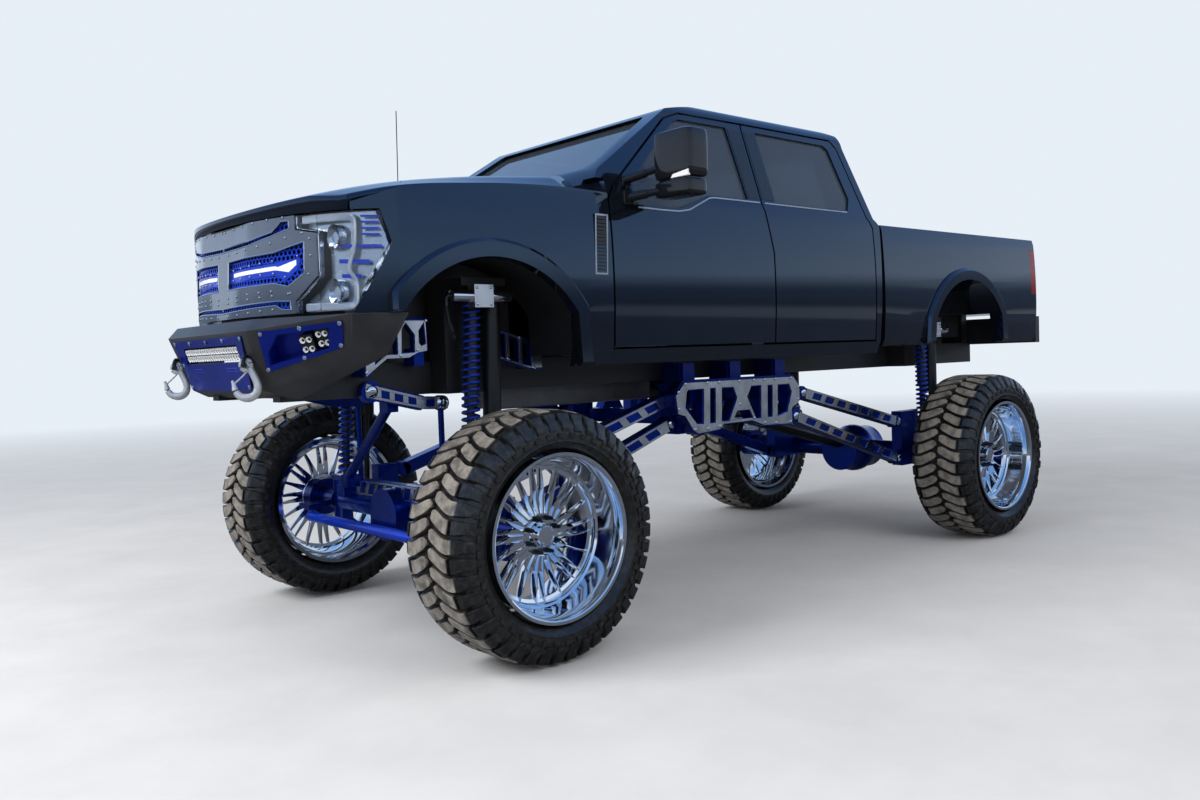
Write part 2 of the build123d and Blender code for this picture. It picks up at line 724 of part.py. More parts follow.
# Lift brackets: side trusses under the frame, joined across
truss_outline = [(-1489, 1206), (-2665, 1193), (-2739, 1143), (-2739, 1020), (-2546, 901),
                 (-1903, 941), (-1561, 905), (-1489, 960)]
truss_windows = (
    [(-1560, 1150), (-1700, 1150), (-1680, 985), (-1600, 960)],
    [(-1760, 1150), (-2000, 1150), (-2000, 990), (-1740, 990)],
    [(-2060, 1150), (-2300, 1150), (-2320, 985), (-2060, 990)],
    [(-2370, 1145), (-2610, 1140), (-2620, 1060), (-2500, 960), (-2380, 975)],
)
with BuildPart() as lift_brackets:
    side_slab(truss_outline, 560, 640)
    for window in truss_windows:
        side_slab(window, 500, 700, mode=Mode.SUBTRACT)
    for x in (-1560, -2030, -2600):
        block((x - 60, x + 60), (rail_out_y, 560), (1080, 1330))
    block((-1489, -1600), (rail_out_y, 560), (905, 1206))
    mirror(about=Plane.XZ)
    for x, low in ((-1800, 940), (-2450, 1085)):
        block((x - 45, x + 45), (-560, 560), (low, low + 90))
finish(lift_brackets, "lift_brackets")

with BuildPart() as bracket_plates:
    side_slab(truss_outline, 640, 650, grow=-14)
    for window in truss_windows:
        side_slab(window, 600, 700, grow=-8, mode=Mode.SUBTRACT)
    # the polished blocks and tubes in front of the shock tops
    for x, z in ((20, 1697), (-4040, 1497)):
        block((x - 55, x + 55), (720 + seat, 780), (z - 55, z + 55))
        block((x - 40, x + 40), (700, 730), (z + 20, z + 53))
        with Locations(Plane(origin=at(x, 750, z), z_dir=(1, 0, 0))):
            Cylinder(28, 330)
    mirror(about=Plane.XZ)
finish(bracket_plates, "bracket_plates")

# Axles
hub_face_y = wheel_y + 0.5
with BuildPart() as front_axle:
    bar(at(0, -770, axle_z), at(0, 770, axle_z), axle_tube_r)
    with Locations(at(0, -40, axle_z)):
        Sphere(150)
    with Locations(Plane(origin=at(0, -40, axle_z), z_dir=(1, 0, 0))):
        Cylinder(140, 330)
    block((40, 95), (-450, 450), (650, 740))
    block((-60, 95), (-450, 450), (630, 655))
    for side in (-1, 1):
        block((-35, 35), (side * 765, side * 795), (430, 730))
        for low, high in ((430, 460), (700, 730)):
            block((-35, 35), (side * 790, side * 890), (low, high))
        block((-110, 100), (side * 600, side * 690), (axle_z + 40, 690))
        block((-190, -60), (side * 480, side * 560), (500, 800))
finish(front_axle, "front_axle")

with BuildPart() as rear_axle:
    x = -wheelbase
    bar(at(x, -1000, axle_z), at(x, 1000, axle_z), 70)
    with Locations(at(x, 0, axle_z)):
        Sphere(185)
    with Locations(Plane(origin=at(x, 0, axle_z), z_dir=(1, 0, 0))):
        Cylinder(165, 380)
    for side in (-1, 1):
        cross_pin(at(x, side * (hub_face_y - 40), axle_z), 110, 80)
        block((x - 130, x + 100), (side * 580, side * 700), (axle_z + 40, 700))
        block((x - 40, x + 130), (side * 555, side * 570), (500, 900))
        block((x + 110, x + 300), (side * 555, side * 640), (500, 900))
finish(rear_axle, "rear_axle")

# Links: each is a box arm with a round eye at both ends
eye_r = 45
link_width = 76
# side offset, then station and height of the eye at the bracket and at the axle
links = (
    (520, (-1489 + eye_r + seat, 1120), (-190 - eye_r - seat, 760)),
    (520, (-1489 + eye_r + seat, 970), (-190 - eye_r - seat, 550)),
    (600, (-2739 - eye_r - seat, 1090), (-wheelbase + 300 + eye_r + seat, 830)),
    (600, (-2739 - eye_r - seat, 960), (-wheelbase + 300 + eye_r + seat, 560)),
)
with BuildPart() as link_arms:
    for y, (x1, z1), (x2, z2) in links:
        beam(at(x1, y, z1), at(x2, y, z2), link_width, 74)
        cross_pin(at(x1, y, z1), eye_r, link_width)
        cross_pin(at(x2, y, z2), eye_r, link_width)
    mirror(about=Plane.XZ)
finish(link_arms, "link_arms")

with BuildPart() as link_trim:
    for y, (x1, z1), (x2, z2) in links:
        y_face = y + link_width / 2 + 3
        beam(at(x1, y_face, z1), at(x2, y_face, z2), 6, 66)
        for k in range(6):
            t = 0.16 + 0.136 * k
            mid = at(x1 + (x2 - x1) * t, y_face, z1 + (z2 - z1) * t)
            run = Vector(x2 - x1, 0, z2 - z1)
            with Locations(Plane(origin=mid, x_dir=run, z_dir=(0, 1, 0))):
                Box(abs(x2 - x1) * 0.09, 40, 20, mode=Mode.SUBTRACT)
    mirror(about=Plane.XZ)
finish(link_trim, "link_trim")

# Shocks and springs: at each wheel one coil-over and one plain shock beside it
# axle, station of the top and of the foot, radius of the body and of the rod, body's share
shocks = (
    ("front", 5, 60, 34, 20, 0.55),
    ("front", -110, -75, 46, 16, 0.62),
    ("rear", -4020, -4040, 34, 20, 0.55),
    ("rear", -4150, -4155, 46, 16, 0.62),
)


def shock_ends(axle, top_x, foot_x, body_r, rod_r):
    """The middles of a shock's two end faces, each seated on its shelf or pad."""
    lean = abs(top_x - foot_x) / (shelf_z[axle] - pad_z[axle])
    top = Vector(*at(top_x, shock_y, shelf_z[axle] - seat - body_r * lean))
    foot = Vector(*at(foot_x, shock_y, pad_z[axle] + seat + rod_r * lean))
    return top, foot


with BuildPart() as shock_absorbers:
    for axle, top_x, foot_x, body_r, rod_r, share in shocks:
        top, foot = shock_ends(axle, top_x, foot_x, body_r, rod_r)
        middle = top + (foot - top) * share
        bar(tuple(top), tuple(middle), body_r)
        bar(tuple(middle), tuple(foot), rod_r)
    mirror(about=Plane.XZ)
finish(shock_absorbers, "shock_absorbers")

coil_pitch = 46
with BuildPart() as coil_springs:
    for axle, top_x, foot_x, body_r, rod_r, share in (shocks[0], shocks[2]):
        top, foot = shock_ends(axle, top_x, foot_x, body_r, rod_r)
        run = foot - top
        count = int(run.length * 0.86 / coil_pitch)
        start = top + run * 0.05
        with BuildSketch(Plane(origin=start, z_dir=run)) as tube:
            Circle(60)
            Circle(body_r + seat, mode=Mode.SUBTRACT)
        extrude(tube.sketch, amount=count * coil_pitch)
        for k in range(count):
            spot = start + run.normalized() * (k + 0.5) * coil_pitch
            with Locations(Plane(origin=spot, z_dir=run)):
                Cylinder(70, 16)
                Cylinder(52, 20, mode=Mode.SUBTRACT)
    mirror(about=Plane.XZ)
finish(coil_springs, "coil_springs")

# Front sway arms with drop links
sway_y = 436
with BuildPart() as sway_arms:
    beam(at(468, sway_y, 1257), at(190, sway_y, 1188), 44, 74)
    beam(at(200, sway_y, 1190), at(75, sway_y, 1183), 44, 64)
    cross_pin(at(468, sway_y, 1257), 52, 44)
    cross_pin(at(75, sway_y, 1183), 38, 44)
    bar(at(75, sway_y, 1180), at(75, sway_y, 741), 15)
    bar(at(468, sway_y - 22, 1265), at(468, rail_out_y, 1265), 24)
    mirror(about=Plane.XZ)
finish(sway_arms, "sway_arms")

# The long strut that holds the axle sideways
with BuildPart() as track_bar:
    bar(at(330, 370, 1180), at(150, -430, 760), 26)
    block((300, 360), (rail_in_y, rail_out_y), (1150, rail_bottom_z))
    block((95 + seat, 180), (-470, -400), (700, 770))
finish(track_bar, "track_bar")

with BuildPart() as drive_shafts:
    bar(at(-1661, 0, 1180), at(-wheelbase + 190 + 11, 0, 640), 45)
    bar(at(-885, -120, 1082), at(-165 - 18, -40, 640), 32)
finish(drive_shafts, "drive_shafts")

# Steering knuckle on the left; the arm reaches round the axle's end to the tie rod
with BuildPart() as knuckle:
    with Locations(at(0, kingpin_y, axle_z)):
        Cylinder(42, 240 - 2 * seat)
    bar(at(0, kingpin_y, axle_z), at(0, 1040, axle_z), 62)
    cross_pin(at(0, hub_face_y - 20, axle_z), 110, 40)
    block((30, 150), (kingpin_y + 10, kingpin_y + 60), (550, 580))
    block((140, tie_rod_x + 25), (kingpin_y - arm_inset - 25, kingpin_y + 60), (550, 580))
write_sides(knuckle, "knuckle")

with BuildPart() as tie_rod:
    end_y = kingpin_y - arm_inset
    bar(at(tie_rod_x, -end_y - 20, tie_rod_z), at(tie_rod_x, end_y + 20, tie_rod_z), 30)
    for side in (-1, 1):
        bar(at(tie_rod_x, side * end_y, tie_rod_z), at(tie_rod_x, side * end_y, 550 - seat), 16)
finish(tie_rod, "tie_rod")

# Wheels: one rim and one tyre, turned about the wheel's own axis
bead_r = rim_radius + seat


def wheel_plane(x, side):
    """A plane at a wheel's middle, its normal pointing outboard."""
    return Plane(origin=at(x, side * wheel_y, axle_z), x_dir=(1, 0, 0), z_dir=(0, side, 0))


half = tyre_width / 2
lip = half - 16
with BuildPart() as rim:
    with BuildSketch(Plane.XZ) as barrel:
        with BuildLine():
            Polyline(
                (rim_radius + rim_lip, lip), (rim_radius + rim_lip, lip - 14), (rim_radius, lip - 20),
                (rim_radius - 22, 30), (rim_radius - 22, -lip + 40), (rim_radius, -lip + 20),
                (rim_radius + rim_lip, -lip + 14), (rim_radius + rim_lip, -lip),
                (rim_radius - rim_wall, -lip), (rim_radius - 22 - rim_wall, -lip + 40),
                (rim_radius - 22 - rim_wall, 30), (rim_radius - rim_wall, lip - 20),
                (rim_radius - rim_wall, lip), close=True,
            )
        make_face()
    revolve(axis=Axis.Z)
    face_z = lip - dish_depth
    with BuildSketch(Plane.XY.offset(face_z - 30)):
        Circle(rim_radius - 22 - rim_wall + 6)
    extrude(amount=28)
    with BuildSketch(Plane.XY.offset(face_z - 40)) as window:
        with PolarLocations(0, 20):
            Polygon((122, 6), (122, -6), (300, -32), (300, 32), align=None)
    extrude(window.sketch, amount=60, mode=Mode.SUBTRACT)
    with BuildSketch(Plane.XY.offset(hub_face_y - wheel_y + seat)):
        Circle(112)
    extrude(amount=face_z)
    with BuildSketch(Plane.XY.offset(face_z)):
        Circle(hub_radius)
    extrude(amount=50)

with BuildPart() as tyre:
    with BuildSketch(Plane.XZ) as carcass:
        with BuildLine():
            Polyline(
                (bead_r, -half + 52), (bead_r + rim_lip + seat, -half + 34),
                (bead_r + rim_lip + seat, -half + 14),
                (bead_r + 60, -half), (tyre_radius - 90, -half), (tyre_radius - 20, -half + 30),
                (tyre_radius, -half + 60), (tyre_radius, half - 60), (tyre_radius - 20, half - 30),
                (tyre_radius - 90, half), (bead_r + 60, half), (bead_r + rim_lip + seat, half - 14),
                (bead_r + rim_lip + seat, half - 34), (bead_r, half - 52), close=True,
            )
        make_face()
    revolve(axis=Axis.Z)

for x, row in ((0, "front"), (-wheelbase, "rear")):
    for side, name in ((1, "left"), (-1, "right")):
        for piece, label in ((rim, "rim"), (tyre, "tyre")):
            with BuildPart() as wheel_piece:
                add(wheel_plane(x, side).from_local_coords(piece.part))
            finish(wheel_piece, f"{label}_{row}_{name}")
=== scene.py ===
import json

import bmesh
import bpy
import numpy as np
from bpy.props import FloatProperty, FloatVectorProperty, IntProperty, PointerProperty
from mathutils import Matrix, Vector
from mathutils.geometry import tessellate_polygon

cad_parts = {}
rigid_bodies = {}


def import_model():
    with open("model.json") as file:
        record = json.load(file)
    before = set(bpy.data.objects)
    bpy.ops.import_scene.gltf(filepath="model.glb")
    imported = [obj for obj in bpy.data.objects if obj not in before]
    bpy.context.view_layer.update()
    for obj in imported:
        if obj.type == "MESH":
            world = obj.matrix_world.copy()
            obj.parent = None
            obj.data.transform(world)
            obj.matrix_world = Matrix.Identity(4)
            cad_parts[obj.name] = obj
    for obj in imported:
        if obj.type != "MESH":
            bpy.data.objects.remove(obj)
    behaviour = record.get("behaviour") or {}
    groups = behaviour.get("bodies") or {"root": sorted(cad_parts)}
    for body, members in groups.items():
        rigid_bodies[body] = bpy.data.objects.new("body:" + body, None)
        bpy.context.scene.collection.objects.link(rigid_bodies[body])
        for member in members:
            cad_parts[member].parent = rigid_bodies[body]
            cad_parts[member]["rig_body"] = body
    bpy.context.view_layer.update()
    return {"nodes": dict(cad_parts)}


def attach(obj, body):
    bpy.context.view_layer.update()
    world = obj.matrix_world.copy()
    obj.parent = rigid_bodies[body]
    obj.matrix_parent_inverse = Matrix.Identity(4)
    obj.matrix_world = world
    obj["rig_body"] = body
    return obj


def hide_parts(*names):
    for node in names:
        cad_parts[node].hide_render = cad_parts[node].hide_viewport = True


bl_info = {
    "name": "Raised crew-cab pickup",
    "version": (1, 0, 0),
    "blender": (4, 5, 0),
    "location": "View3D > Sidebar > Pickup",
    "description": "Builds the looks of a raised crew-cab pickup truck around its packed frame",
    "category": "Object",
}

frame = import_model()

# All sizes are in metres. Stations along the truck count forward from the front axle.
FRONT_AXLE = 2.1
REAR_AXLE = -1.96
AXLE_HEIGHT = 0.58
WHEEL_SIDE = 1.078
WHEELS = (
    ("front_left", FRONT_AXLE, 1),
    ("front_right", FRONT_AXLE, -1),
    ("rear_left", REAR_AXLE, 1),
    ("rear_right", REAR_AXLE, -1),
)
MADE = {}


# Colours and sizes that a user would change

class PickupColours(bpy.types.PropertyGroup):
    body: FloatVectorProperty(
        name="Body", description="Gloss paint of the cab and bed", subtype="COLOR",
        default=(0.0035, 0.004, 0.006), min=0, max=1)
    candy: FloatVectorProperty(
        name="Candy blue", description="Deep blue paint of links, brackets and springs",
        subtype="COLOR", default=(0.0, 0.022, 0.26), min=0, max=1)
    bright: FloatVectorProperty(
        name="Bright blue", description="Bright blue paint of axle, tie rod and inset panels",
        subtype="COLOR", default=(0.002, 0.045, 0.6), min=0, max=1)
    rubber: FloatVectorProperty(
        name="Rubber", description="Clean tyre rubber", subtype="COLOR",
        default=(0.009, 0.009, 0.009), min=0, max=1)
    dust: FloatVectorProperty(
        name="Dust", description="Dry dust on the faces of the lugs", subtype="COLOR",
        default=(0.27, 0.245, 0.215), min=0, max=1)
    floor: FloatVectorProperty(
        name="Floor", description="Pale floor", subtype="COLOR",
        default=(0.66, 0.66, 0.665), min=0, max=1)
    sky: FloatVectorProperty(
        name="Backdrop", description="Pale backdrop", subtype="COLOR",
        default=(0.80, 0.86, 0.93), min=0, max=1)


class PickupSizes(bpy.types.PropertyGroup):
    lugs: IntProperty(
        name="Lugs", description="Tread lugs round each side of a tyre", default=44, min=12, max=80)
    spoke_groups: IntProperty(
        name="Spoke groups", description="Groups of three spokes in a wheel", default=8, min=4, max=20)
    edge: FloatProperty(
        name="Edge", description="Width of the rounded edges of machined pieces", default=0.002,
        min=0, max=0.02, unit="LENGTH")
    hex_pitch: FloatProperty(
        name="Mesh pitch", description="Distance between the holes of the grille mesh",
        default=0.026, min=0.01, max=0.1, unit="LENGTH")
    key_light: FloatProperty(
        name="Key light", description="Power of the large soft lamp ahead of the truck",
        default=900, min=0, unit="POWER")
    fill_light: FloatProperty(
        name="Fill", description="Strength of the pale surroundings as light", default=0.62, min=0)


# Shapes as arrays of points and faces

def at(x, y, z):
    """A point whose station is counted forward from the front axle."""
    return np.array((FRONT_AXLE + x, y, z), float)


def grid(rows, cols, close_rows=False, close_cols=False):
    """Quads over rows x cols points numbered row by row, closed round where asked."""
    r = np.arange(rows if close_rows else rows - 1)[:, None]
    c = np.arange(cols if close_cols else cols - 1)[None, :]
    r2, c2 = (r + 1) % rows, (c + 1) % cols
    corners = np.broadcast_arrays(r * cols + c, r * cols + c2, r2 * cols + c2, r2 * cols + c)
    return np.stack(corners, -1).reshape(-1, 4).tolist()


def swept(path, section, sides, ups, caps=True):
    """A closed section carried along a path.
    Point (i, j) = path[i] + section[i, j, 0] * sides[i] + section[i, j, 1] * ups[i]."""
    path = np.asarray(path, float)
    section = np.broadcast_to(section, (len(path),) + np.shape(section)[-2:])
    sides = np.broadcast_to(sides, path.shape)
    ups = np.broadcast_to(ups, path.shape)
    points = (path[:, None, :] + section[..., :1] * sides[:, None, :]
              + section[..., 1:] * ups[:, None, :])
    rows, cols = points.shape[:2]
    faces = grid(rows, cols, close_cols=True)
    if caps:
        faces.append(list(range(cols))[::-1])
        faces.append([(rows - 1) * cols + j for j in range(cols)])
    return points.reshape(-1, 3), faces


def unit(v):
    v = np.asarray(v, float)
    return v / np.maximum(np.linalg.norm(v, axis=-1, keepdims=True), 1e-12)


def ring(count, radius=1.0):
    """A round section: (radius cos a, radius sin a) at even angles."""
    a = np.arange(count) * 2 * np.pi / count
    return np.stack((np.cos(a), np.sin(a)), -1) * radius


def tube(path, radius, count=12):
    """A round bar along a path: circles of the given radius square to the path's own run."""
    path = np.asarray(path, float)
    run = unit(np.gradient(path, axis=0))
    rough = np.where(np.abs(run[:, 2:]) > 0.9, (1.0, 0, 0), (0, 0, 1.0))
    sides = unit(np.cross(rough, run))
    ups = np.cross(run, sides)
    radius = np.broadcast_to(np.asarray(radius, float), (len(path),))
    return swept(path, ring(count)[None] * radius[:, None, None], sides, ups)


def lathed(profile, centre, axis, count=96, close=True):
    """A profile of (radius, height) turned about an axis through centre.
    Point (i, j) = centre + height[j] axis + radius[j] (cos a[i] u + sin a[i] v)."""
    axis = unit(axis)
    u = unit(np.cross(axis, (0, 0, 1) if abs(axis[2]) < 0.9 else (1, 0, 0)))
    v = np.cross(axis, u)
    profile = np.asarray(profile, float)
    a = np.arange(count)[:, None, None] * 2 * np.pi / count
    spoke = np.cos(a) * u + np.sin(a) * v
    points = centre + profile[None, :, 1:] * axis + profile[None, :, :1] * spoke
    faces = grid(count, len(profile), close_rows=True, close_cols=close)
    return points.reshape(-1, 3), faces


def cuboid(centre, size, axes=np.eye(3)):
    """A box: centre plus half of each size, both ways, along three axes."""
    axes = unit(axes)
    loop = np.array(((-1, -1), (1, -1), (1, 1), (-1, 1)), float) / 2
    ends = np.stack((centre - axes[0] * size[0] / 2, centre + axes[0] * size[0] / 2))
    return swept(ends, loop * (size[1], size[2]), axes[1], axes[2])


def plate(outline, origin, side, up, thickness):
    """A flat outline (across, up) given a thickness along side x up."""
    side, up = unit(side), unit(up)
    normal = np.cross(side, up)
    origin = np.asarray(origin, float)
    ends = np.stack((origin, origin + normal * thickness))
    return swept(ends, np.asarray(outline, float), side, up)


def studs(centres, normal, radius, height, count=10):
    """Low domed heads at each centre: three rings, of radius r, 0.92 r and 0.55 r, and a cap."""
    normals = np.broadcast_to(unit(normal), np.shape(centres))
    shapes = []
    levels = np.array(((1, -0.2), (1, 0.45), (0.8, 0.85), (0.4, 1.0)))
    for centre, n in zip(np.asarray(centres, float), normals):
        profile = levels * (radius, height)
        a = np.arange(count)[:, None, None] * 2 * np.pi / count
        u = unit(np.cross(n, (0, 0, 1) if abs(n[2]) < 0.9 else (1, 0, 0)))
        spoke = np.cos(a) * u + np.sin(a) * np.cross(n, u)
        points = centre + profile[:, None, 1:, None][..., 0] * n + profile[:, None, :1] * spoke[:, 0][None]
        faces = grid(4, count, close_cols=True)
        faces.append(list(range(count))[::-1])
        faces.append([3 * count + j for j in range(count)])
        shapes.append((points.reshape(-1, 3), faces))
    return shapes


def circle_station(corners, y):
    """Station at half width y on the circle through three (station, half width) points."""
    (x1, y1), (x2, y2), (x3, y3) = corners
    rows = np.array([[x2 - x1, y2 - y1], [x3 - x1, y3 - y1]]) * 2
    ends = np.array([x2 * x2 - x1 * x1 + y2 * y2 - y1 * y1,
                     x3 * x3 - x1 * x1 + y3 * y3 - y1 * y1])
    cx, cy = np.linalg.solve(rows, ends)
    radius = np.hypot(x1 - cx, y1 - cy)
    return cx + np.sqrt(np.maximum(radius ** 2 - (y - cy) ** 2, 0))


SIDE_ARC = ((0.400, 0.995), (0.690, 0.905), (0.860, 0.660))
FRONT_ARC = ((0.860, 0.660), (0.945, 0.380), (0.985, 0.0))


def nose_station(y, z, inset=0.0):
    """Station of the nose's outer face: the plan's two arcs, cut by the leaning front profile."""
    y = np.abs(np.asarray(y, float))
    plan = np.where(y < 0.66, circle_station(FRONT_ARC, y), circle_station(SIDE_ARC, y))
    return np.minimum(plan, 0.985 - 0.0603 * (np.asarray(z) - 1.612)) - inset


def band(top, low, inset, thickness, step=0.015):
    """A strip on the nose between two lines of (half width, height).
    Point = (nose station(y, z) - inset, y, z) along the top and the low line, and again
    thickness further in, so that its section has four corners."""
    top, low = np.asarray(top, float), np.asarray(low, float)
    first, last = max(top[0, 0], low[0, 0]), min(top[-1, 0], low[-1, 0])
    ys = np.concatenate((top[:, 0], low[:, 0], np.arange(first, last, step)))
    ys = np.unique(np.round(np.clip(ys, first, last), 5))
    zs = np.interp(ys, *top.T), np.interp(ys, *low.T)
    corners = [(z, depth) for depth in (inset, inset + thickness) for z in zs]
    order = (corners[0], corners[1], corners[3], corners[2])
    points = np.stack([np.stack((FRONT_AXLE + nose_station(ys, z, depth), ys, z), -1)
                       for z, depth in order], 1)
    faces = grid(len(ys), 4, close_cols=True)
    faces.append([3, 2, 1, 0])
    faces.append([(len(ys) - 1) * 4 + j for j in range(4)])
    return points.reshape(-1, 3), faces


def on_nose(points, inset):
    """Points (half width, height) laid on the nose at a depth."""
    points = np.asarray(points, float)
    return np.stack((FRONT_AXLE + nose_station(points[:, 0], points[:, 1], inset), points[:, 0],
                     points[:, 1]), -1)


def mm(*points):
    """Points in millimetres, stations counted from the front axle, brought to metres."""
    return np.array(points, float) / 1000 + (FRONT_AXLE, 0, 0)


def box(stations, halves, heights):
    """A box between two stations, two half widths and two heights, in millimetres."""
    low, high = mm(*zip(stations, halves, heights))
    return cuboid((low + high) / 2, np.abs(high - low))


def cut_plate(outline, windows, low, high):
    """An upright plate with windows, seen from the side: its two faces are the outline less the
    windows at half widths low and high, joined by a wall along every edge."""
    loops = [np.asarray(loop, float) for loop in (outline, *windows)]
    flat = np.concatenate(loops)
    faces = [list(face) for face in tessellate_polygon([[Vector((*p, 0)) for p in loop]
                                                        for loop in loops])]
    count, start = len(flat), 0
    faces += [[v + count for v in face] for face in faces]
    for loop in loops:
        ends = np.arange(len(loop)) + start
        faces += np.stack((ends, np.roll(ends, -1), np.roll(ends, -1) + count, ends + count), -1).tolist()
        start += len(loop)
    points = [np.stack((flat[:, 0], np.full(count, y), flat[:, 1]), -1) for y in (low, high)]
    return mm(*np.concatenate(points)), faces


def scaled(outline, share):
    """An outline scaled about its middle; share is (along, up)."""
    outline = np.asarray(outline, float)
    return outline.mean(0) + (outline - outline.mean(0)) * share


def smooth(x, xs, ys):
    """A curve through (xs, ys): cubic pieces whose slopes at the given points are those of
    np.gradient."""
    x, xs, ys = (np.asarray(v, float) for v in (x, xs, ys))
    slope = np.gradient(ys, xs)
    k = np.clip(np.searchsorted(xs, x) - 1, 0, len(xs) - 2)
    run = xs[k + 1] - xs[k]
    t = (x - xs[k]) / run
    return ((2 * t ** 3 - 3 * t ** 2 + 1) * ys[k] + (t ** 3 - 2 * t ** 2 + t) * run * slope[k]
            + (3 * t ** 2 - 2 * t ** 3) * ys[k + 1] + (t ** 3 - t ** 2) * run * slope[k + 1])


def between(outer, inner):
    """A flat ring: quads between two outlines with as many corners each."""
    count = len(outer)
    return np.concatenate((outer, inner)), grid(2, count, close_cols=True)


def slab(outline, normal, low, high):
    """An outline moved along its normal by low and by high, closed into a slab."""
    outline = np.asarray(outline, float)
    count = len(outline)
    faces = grid(2, count, close_cols=True)
    faces += [list(range(count))[::-1], list(range(count, 2 * count))]
    return np.concatenate((outline + normal * low, outline + normal * high)), faces


def slab_ring(outer, inner, normal, low, high):
    """A slab with one opening: its section is the four corners of the ring at low and high."""
    corners = (outer + normal * low, outer + normal * high, inner + normal * high,
               inner + normal * low)
    points = np.stack(corners, 1)
    return points.reshape(-1, 3), grid(len(outer), 4, True, True)


def facing(a, b, c):
    """Unit normal of the plane through three points, pointing forward."""
    n = unit(np.cross(np.subtract(b, a), np.subtract(c, a)))
    return n if n[0] > 0 else -n


def mirrored(shapes):
    """The same shapes and their mirror images across the truck's middle."""
    flip = np.array((1, -1, 1))
    return list(shapes) + [(p * flip, [f[::-1] for f in faces]) + tuple(rest)
                           for p, faces, *rest in shapes]


def piece(name, shapes, finishes, body, replaced=(), edge=0.0, angle=32, segments=2,
          level=0, attribute=None, weld=False):
    """One object from several shapes; a shape's third item picks its finish."""
    points, faces, picks, start = [], [], [], 0
    for p, f, *rest in shapes:
        points.append(p)
        faces.extend([[k + start for k in face] for face in f])
        picks.extend([rest[0] if rest else 0] * len(f))
        start += len(p)
    mesh = bpy.data.meshes.new(name)
    mesh.from_pydata(np.concatenate(points).tolist(), [], faces)
    mesh.polygons.foreach_set("material_index", np.array(picks, np.int32))
    if attribute:
        layer = mesh.attributes.new(attribute[0], "FLOAT", "POINT")
        layer.data.foreach_set("value", np.asarray(attribute[1], np.float32))
    tidy = bmesh.new()
    tidy.from_mesh(mesh)
    if weld:
        bmesh.ops.remove_doubles(tidy, verts=tidy.verts, dist=1e-4)
    bmesh.ops.recalc_face_normals(tidy, faces=tidy.faces)
    tidy.to_mesh(mesh)
    tidy.free()
    return placed(name, mesh, finishes, body, replaced, edge, angle, segments, level)


def placed(name, mesh, finishes, body, replaced=(), edge=0.0, angle=32, segments=2,
           level=0):
    """The object of a mesh, with rounded edges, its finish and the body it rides."""
    mesh.shade_smooth()
    mesh.set_sharp_from_angle(angle=np.radians(angle))
    for finish in finishes if isinstance(finishes, (list, tuple)) else [finishes]:
        mesh.materials.append(finish)
    thing = bpy.data.objects.new(name, mesh)
    bpy.context.scene.collection.objects.link(thing)
    if edge:
        bevel = thing.modifiers.new("edges", "BEVEL")
        bevel.width = edge
        bevel.segments = segments
        bevel.limit_method = "ANGLE"
        bevel.angle_limit = np.radians(angle)
        bevel.harden_normals = True
        bevel.use_clamp_overlap = True
    if level:
        rounds = thing.modifiers.new("rounds", "SUBSURF")
        rounds.levels = rounds.render_levels = level
    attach(thing, body)
    if replaced:
        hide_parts(*replaced)
    MADE[name] = thing
    return thing


def skin(node, finish, edge=0.0, angle=32, flat=0.5, segments=2):
    """A CAD node's own mesh with its points joined, its flat faces whole and its edges rounded."""
    source = frame["nodes"][node]
    mesh = source.data.copy()
    mesh.materials.clear()
    work = bmesh.new()
    work.from_mesh(mesh)
    bmesh.ops.remove_doubles(work, verts=work.verts, dist=2e-5)
    if flat:
        bmesh.ops.dissolve_limit(work, angle_limit=np.radians(flat), verts=work.verts,
                                 edges=work.edges)
    work.to_mesh(mesh)
    work.free()
    if mesh.has_custom_normals:
        mesh.attributes.remove(mesh.attributes["custom_normal"])
    return placed(f"{node}_skin", mesh, finish, source["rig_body"], (node,), edge, angle,
                  segments)


def pad(centre, size, axes, channels, depth=0.007, rows=40, cols=56):
    """A crowned pad: a rounded box swollen at its middle, with sewn channels across it.
    With p = (cos u cos v, cos u sin v, sin u), each part is raised to the power 0.32, then
    scaled by half the size. Sewn lines pull the face in by depth exp(-(w/0.035)^2), where w
    is the distance along the pad to the nearest of the evenly spaced channels."""
    u = np.linspace(-np.pi / 2, np.pi / 2, rows)[:, None]
    v = np.arange(cols)[None, :] * 2 * np.pi / cols
    raw = np.stack((np.cos(u) * np.cos(v), np.cos(u) * np.sin(v), np.sin(u) + 0 * v), -1)
    form = np.sign(raw) * np.abs(raw) ** 0.32
    form /= np.maximum(np.abs(form).max(-1, keepdims=True), 1e-9) ** 0.35
    form = form / np.abs(form).reshape(-1, 3).max(0)
    spacing = 2 / (channels + 1)
    away = np.abs((form[..., 0] + 1) / spacing - np.round((form[..., 0] + 1) / spacing)) * spacing
    inner = np.abs(form[..., 0]) < 1 - spacing / 2
    dent = depth * np.exp(-(away / 0.035) ** 2) * inner
    local = form * np.asarray(size) / 2
    local[..., 2] -= np.sign(form[..., 2]) * dent
    points = np.asarray(centre) + local.reshape(-1, 3) @ unit(axes)
    return points, grid(rows, cols, close_cols=True)


# Finishes

